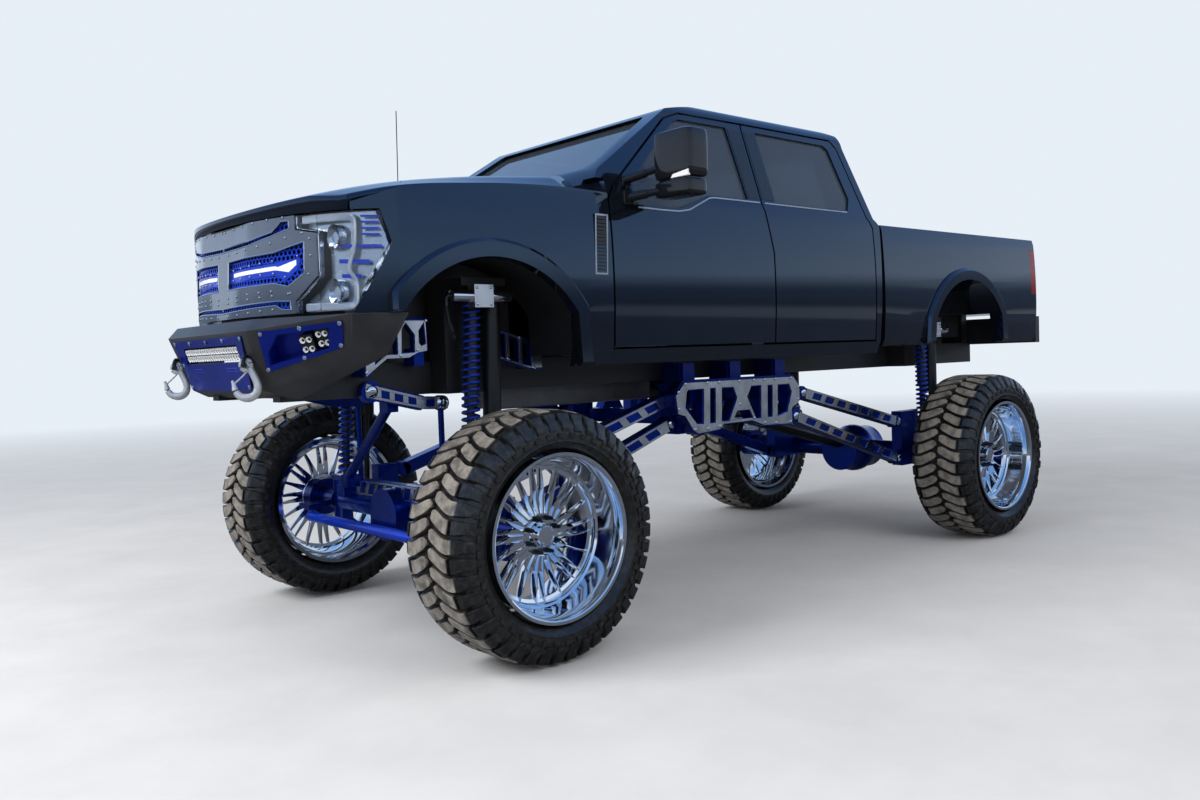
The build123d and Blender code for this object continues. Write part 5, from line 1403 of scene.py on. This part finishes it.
class PICKUP_OT_bumper(bpy.types.Operator):
    """Winged front bumper with blue panels, light bar, pods and sling hooks"""
    bl_idname = "pickup.bumper"
    bl_label = "Front bumper"

    def execute(self, context):
        top, below = FACE[:2], FACE[3]
        wing = facing(FACE[0], FACE[1], FACE[3])
        front = facing(FACE[0], FACE[3], FACE[0] * OPPOSITE)
        outline = np.array((FACE[0], FACE[1], FACE[2], FACE[3], (FACE[3] + FACE[0]) / 2))
        centre = np.array((FACE[0] * OPPOSITE, FACE[0], below, below * OPPOSITE))
        slot = np.array((LIGHT_BAR[0] * OPPOSITE, LIGHT_BAR[0], LIGHT_BAR[1], LIGHT_BAR[1] * OPPOSITE))
        half = (
            between(outline, WING_OPENING),
            (np.array((TOP[1], FACE[0], FACE[1])), [[0, 1, 2]]),
            (np.array((FACE[1], TOP[2], UNDER[1], FACE[2])), [[0, 3, 2, 1]]),
            (np.array((FACE[3], FACE[2], UNDER[1], UNDER[0])), [[0, 1, 2, 3]]),
            (np.array((TOP[0], TOP[1], FACE[1], TOP[2], TOP[3])), [[0, 1, 2, 3, 4]]),
        )
        whole = (
            between(centre, slot),
            (np.array((TOP[1] * OPPOSITE, TOP[1], top[0], top[0] * OPPOSITE)), [[0, 1, 2, 3]]),
            (np.array((below * OPPOSITE, below, UNDER[0], UNDER[0] * OPPOSITE)), [[0, 1, 2, 3]]),
        )
        shell = piece("bumper_shell", mirrored(half) + list(whole), FINISH["bumper"], "chassis",
                      ("front_bumper",), weld=True)
        thick = shell.modifiers.new("sheet", "SOLIDIFY")
        thick.thickness = 0.008
        thick.offset = -1.0
        rounds = shell.modifiers.new("edges", "BEVEL")
        rounds.width = 0.004
        rounds.segments = 2
        rounds.limit_method = "ANGLE"

        panel = np.array((CENTRE_PANEL[0] * OPPOSITE, CENTRE_PANEL[0], CENTRE_PANEL[1],
                          CENTRE_PANEL[1] * OPPOSITE))
        pocket = [slab_ring(WING_OPENING, WING_OPENING + (WING_OPENING.mean(0) - WING_OPENING) * 0.03,
                            wing, -0.065, 0.0),
                  slab(WING_OPENING, wing, -0.07, -0.065)]
        back = slab(slot, front, -0.05, -0.045)
        piece("bumper_panels", mirrored([slab_ring(WING_PANEL, WING_OPENING, wing, 0.0, 0.004)])
              + [slab_ring(panel, slot, front, 0.0, 0.004), back] + mirrored(pocket),
              FINISH["panel"], "chassis", edge=0.0012)
        bolts = [(WING_BOLTS, wing), (CENTRE_BOLTS, front)]
        heads = [row for spots, way in bolts for row in studs(spots + way * 0.004, way, 0.0105,
                                                              0.0065, 14)]
        piece("bumper_bolts", mirrored(heads), FINISH["chrome"], "chassis")

        up = unit(FACE[0] - FACE[3]) * (1, 0, 1)
        up = unit(up)
        louvres = []
        for z in np.linspace(1312, 1394, 7):
            middle = mm((986 + (z - 1284) * 0.345, 212, z))[0]
            louvres.append(cuboid(middle + front * 0.006, (0.138, 0.0085, 0.012),
                                  np.array(((0, 1, 0), unit(up + front * 0.6), front))))
        piece("bumper_louvres", mirrored(louvres), FINISH["bright"], "chassis",
              edge=0.0015)

        # the light bar: a housing and two rows of small reflectors behind a clear face
        middle = (LIGHT_BAR[0] + LIGHT_BAR[1]) / 2 * (1, 0, 1)
        housing = [cuboid(middle - front * 0.022, (0.664, 0.066, 0.036), np.array(((0, 1, 0), up, front)))
                   + (0,)]
        cells = np.stack(np.meshgrid(np.linspace(-0.312, 0.312, 22), (-0.0165, 0.0165)), -1).reshape(-1, 2)
        for y, z in cells:
            housing.append(lathed(((0.0005, -0.006), (0.006, -0.005), (0.0135, 0.004), (0.0145, 0.006),
                                   (0.0145, 0.0), (0.0005, -0.008)),
                                  middle - front * 0.004 + (0, y, 0) + up * z, front, 12) + (1,))
        pods = []
        across = unit(FACE[1] - FACE[0])
        upright = np.cross(wing, across)
        upright = upright if upright[2] > 0 else -upright
        for spot in PODS:
            frame_axes = np.array((across, upright, wing))
            pods.append(cuboid(spot - wing * 0.036, (0.066, 0.084, 0.05), frame_axes) + (0,))
            for a in (-0.016, 0.016):
                for b in (-0.021, 0.021):
                    pods.append(lathed(((0.0005, -0.006), (0.005, -0.005), (0.012, 0.005),
                                        (0.013, 0.007), (0.013, 0.0), (0.0005, -0.008)),
                                       spot - wing * 0.009 + across * a + upright * b, wing, 14) + (1,))
        piece("bumper_lights", housing + mirrored(pods), [FINISH["shock"], FINISH["led"]], "chassis",
              ("bumper_lamps",), edge=0.0015)
        piece("sling_hooks", hook(1) + hook(-1), [FINISH["hook"], FINISH["shock"]], "chassis",
              ("tow_hooks",))
        return {"FINISHED"}


# middle (station, half width, height), length, width, thickness, lean, sewn channels
SEAT_PADS = (
    ("front", -1490, 400, 1700, 500, 500, 150, 0.03, 4), ("front", -1763, 400, 2065, 560, 450, 110, 1.43, 5),
    ("front", -1772, 400, 2345, 130, 260, 84, 1.43, 0),
)
BENCH_PADS = (
    ("bench", -2520, 466, 1700, 420, 450, 150, 0.02, 4), ("bench", -2520, 0, 1700, 420, 450, 150, 0.02, 4),
    ("bench", -2520, -466, 1700, 420, 450, 150, 0.02, 4),
    ("bench", -2808, 466, 2000, 580, 450, 104, 1.57, 5), ("bench", -2808, 0, 2000, 580, 450, 104, 1.57, 5),
    ("bench", -2808, -466, 2000, 580, 450, 104, 1.57, 5),
)


def seat_pad(row, flip=1):
    _, x, y, z, length, width, thickness, lean, channels = row
    along = np.array((np.cos(lean), 0, np.sin(lean)))
    across = np.array((0, 1.0, 0))
    return pad(mm((x, y * flip, z))[0], np.array((length, width, thickness)) / 1000,
               np.array((along, across, np.cross(along, across))), channels)


class PICKUP_OT_cabin(bpy.types.Operator):
    """Leather seats on plastic bases, and the dashboard"""
    bl_idname = "pickup.cabin"
    bl_label = "Cabin"

    def execute(self, context):
        for node, finish, slot, edge in CABIN_SKINS:
            skin(node, FINISH[finish], edge)
        soft = [("seat_pads_left", [seat_pad(row) for row in SEAT_PADS]),
                ("seat_pads_right", [seat_pad(row, -1) for row in SEAT_PADS]),
                ("bench_pads", [seat_pad(row) for row in BENCH_PADS])]
        for name, shapes in soft:
            cushions = piece(name, shapes, FINISH["leather"], "chassis", ("seats",)
                             if name == "bench_pads" else (), angle=60, weld=True)
        bases = [cuboid(mm((-1490, side * 400, 1530))[0], (0.46, 0.42, 0.2)) for side in (1, -1)]
        bases += [cuboid(mm((-2530, 0, 1530))[0], (0.40, 1.36, 0.2))]
        bases += [tube(mm((-1778, side * y, 2280), (-1774, side * y, 2350)), 0.006, 8)
                  for side in (1, -1) for y in (350, 450)]
        piece("seat_bases", bases, FINISH["plastic"], "chassis", edge=0.02)
        return {"FINISHED"}


# Stage

def floor_finish(colours):
    """Pale floor: fine grain near the truck, melting into the backdrop's colour far away.
    Share of backdrop = distance from the middle brought from 5.5..24 m to 0..1.
    Paint and chrome reflect it as dark ground, as in the photo."""
    n = Nodes("pale_floor")
    far = n.add("ShaderNodeVectorMath", operation="LENGTH")
    n.join(n.place, far.inputs[0])
    share = n.spread(far.outputs["Value"], 0.0, 1.0, 5.5, 24.0)
    tone = n.mix(n.spread(n.noise(1.4, 8, 0.65), 0, 1), shade(tuple(colours.floor), 0.93),
                 shade(tuple(colours.floor), 1.05))
    mirrored_ray = n.add("ShaderNodeLightPath").outputs["Is Glossy Ray"]
    tone = n.mix(mirrored_ray, tone, (0.10, 0.11, 0.13))
    n.set(Base_Color=tone, Roughness=0.85, Specular_IOR_Level=0.2)
    n.set(Normal=n.bump(n.noise(90, 5, 0.7), 0.2, 0.003))
    glow = n.add("ShaderNodeEmission")
    n.join(n.mix(mirrored_ray, tuple(colours.sky), (0.11, 0.14, 0.19)), glow.inputs["Color"])
    blend = n.add("ShaderNodeMixShader")
    n.join(share, blend.inputs["Fac"])
    n.join(n.shader.outputs["BSDF"], blend.inputs[1])
    n.join(glow.outputs["Emission"], blend.inputs[2])
    n.join(blend.outputs["Shader"], n.tree.nodes["Material Output"].inputs["Surface"])
    return n.material


class PICKUP_OT_stage(bpy.types.Operator):
    """Pale floor and backdrop, soft studio light and the camera"""
    bl_idname = "pickup.stage"
    bl_label = "Stage"

    def execute(self, context):
        sizes, colours = tools()
        scene = context.scene
        reach = np.array((0.0, 2, 5, 10, 18, 30, 60))
        points, faces = lathed([(max(r, 1e-4), 0.0) for r in reach], np.zeros(3), (0, 0, 1), 96,
                               close=False)
        mesh = bpy.data.meshes.new("floor")
        mesh.from_pydata(points.tolist(), [], faces)
        up = bmesh.new()
        up.from_mesh(mesh)
        bmesh.ops.remove_doubles(up, verts=up.verts, dist=1e-3)
        bmesh.ops.recalc_face_normals(up, faces=up.faces)
        if up.faces[:][0].normal.z < 0:
            bmesh.ops.reverse_faces(up, faces=up.faces)
        up.to_mesh(mesh)
        up.free()
        mesh.materials.append(floor_finish(colours))
        floor = bpy.data.objects.new("floor", mesh)
        scene.collection.objects.link(floor)

        world = bpy.data.worlds.new("studio")
        scene.world = world
        world.use_nodes = True
        tree = world.node_tree
        tree.nodes.clear()

        def add(kind, **values):
            node = tree.nodes.new(kind)
            for key, value in values.items():
                setattr(node, key, value)
            return node

        light = add("ShaderNodeBackground")
        light.inputs["Color"].default_value = (0.95, 0.97, 1.0, 1.0)
        light.inputs["Strength"].default_value = sizes.fill_light
        shown = add("ShaderNodeBackground")
        shown.inputs["Color"].default_value = (*colours.sky, 1.0)
        # what paint and chrome reflect: a dull ground, a dark far edge, a pale horizon, a blue sky
        around = add("ShaderNodeBackground")
        place = add("ShaderNodeTexCoord")
        height = add("ShaderNodeSeparateXYZ")
        ramp = add("ShaderNodeValToRGB")
        stops = ((0.0, (0.36, 0.36, 0.37)), (0.495, (0.40, 0.41, 0.43)), (0.505, (0.09, 0.12, 0.17)),
                 (0.53, (0.12, 0.17, 0.25)), (0.55, (0.75, 0.86, 1.0)), (0.62, (0.48, 0.66, 0.95)),
                 (0.78, (0.20, 0.40, 0.80)), (1.0, (0.12, 0.28, 0.64)))
        ramp.color_ramp.elements[0].position = stops[0][0]
        ramp.color_ramp.elements[1].position = stops[-1][0]
        for where, _ in stops[1:-1]:
            ramp.color_ramp.elements.new(where)
        for element, (_, tone) in zip(ramp.color_ramp.elements, stops):
            element.color = (*tone, 1.0)
        upward = add("ShaderNodeMapRange")
        upward.inputs["From Min"].default_value = -1.0
        path = add("ShaderNodeLightPath")
        either = add("ShaderNodeMath", operation="MAXIMUM")
        bounced, mixed = add("ShaderNodeMixShader"), add("ShaderNodeMixShader")
        out = add("ShaderNodeOutputWorld")
        for source, target in (
            (place.outputs["Generated"], height.inputs["Vector"]),
            (height.outputs["Z"], upward.inputs["Value"]),
            (upward.outputs["Result"], ramp.inputs["Fac"]),
            (ramp.outputs["Color"], around.inputs["Color"]),
            (path.outputs["Is Glossy Ray"], either.inputs[0]),
            (path.outputs["Is Transmission Ray"], either.inputs[1]),
            (either.outputs[0], bounced.inputs["Fac"]),
            (light.outputs[0], bounced.inputs[1]),
            (around.outputs[0], bounced.inputs[2]),
            (path.outputs["Is Camera Ray"], mixed.inputs["Fac"]),
            (bounced.outputs[0], mixed.inputs[1]),
            (shown.outputs[0], mixed.inputs[2]),
            (mixed.outputs[0], out.inputs["Surface"]),
        ):
            tree.links.new(source, target)

        # name, power, size, place, point it faces
        lamps = (
            ("key", sizes.key_light, 5.0, (9.5, -1.5, 7.5), (1.0, 0.0, 1.0)),
            ("side", sizes.key_light * 0.35, 6.0, (1.0, 9.0, 7.0), (0.0, 0.0, 1.2)),
        )
        for name, power, size, place, target in lamps:
            lamp = bpy.data.lights.new(name, "AREA")
            lamp.energy = power
            lamp.size = size
            thing = bpy.data.objects.new(name, lamp)
            thing.location = place
            aim = Vector(target) - Vector(place)
            thing.rotation_euler = aim.to_track_quat("-Z", "Y").to_euler()
            thing.visible_glossy = False
            scene.collection.objects.link(thing)

        scene.view_settings.view_transform = "Standard"
        lens = bpy.data.cameras.new("camera")
        lens.lens = 30.306
        lens.sensor_width = 36.0
        lens.sensor_fit = "HORIZONTAL"
        lens.clip_end = 200
        camera = bpy.data.objects.new("camera", lens)
        right, up_way = Vector((-0.7522, 0.6580, -0.0352)), Vector((-0.0555, -0.0100, 0.9984))
        back = Vector((0.6566, 0.7529, 0.0440))
        turn = Matrix((right.normalized(), up_way.normalized(), back.normalized())).transposed()
        camera.matrix_world = Matrix.Translation((4.909, 4.794, 1.392)) @ turn.to_4x4()
        scene.collection.objects.link(camera)
        scene.camera = camera
        return {"FINISHED"}


class PICKUP_PT_panel(bpy.types.Panel):
    """Lists what builds the truck, with its sizes and colours"""
    bl_idname = "PICKUP_PT_panel"
    bl_label = "Raised pickup"
    bl_space_type = "VIEW_3D"
    bl_region_type = "UI"
    bl_category = "Pickup"

    def draw(self, context):
        for group in (context.scene.pickup_sizes, context.scene.pickup_colours):
            column = self.layout.column()
            for key in group.bl_rna.properties.keys():
                if key not in ("rna_type", "name"):
                    column.prop(group, key)
        for operator in OPERATORS:
            self.layout.operator(operator.bl_idname)


OPERATORS = (
    PICKUP_OT_stage,
    PICKUP_OT_body,
    PICKUP_OT_glass,
    PICKUP_OT_front,
    PICKUP_OT_bumper,
    PICKUP_OT_chassis,
    PICKUP_OT_cabin,
    PICKUP_OT_wheels,
    PICKUP_OT_tyres,
)
CLASSES = (PickupColours, PickupSizes, PICKUP_PT_panel, *OPERATORS)


def register():
    for cls in CLASSES:
        bpy.utils.register_class(cls)
    bpy.types.Scene.pickup_colours = PointerProperty(type=PickupColours)
    bpy.types.Scene.pickup_sizes = PointerProperty(type=PickupSizes)


def unregister():
    del bpy.types.Scene.pickup_sizes
    del bpy.types.Scene.pickup_colours
    for cls in reversed(CLASSES):
        bpy.utils.unregister_class(cls)


def main():
    register()
    FINISH.update(make_finishes(bpy.context.scene.pickup_colours))
    for operator in OPERATORS:
        group, name = operator.bl_idname.split(".")
        getattr(getattr(bpy.ops, group), name)()


if __name__ == "__main__":
    main()
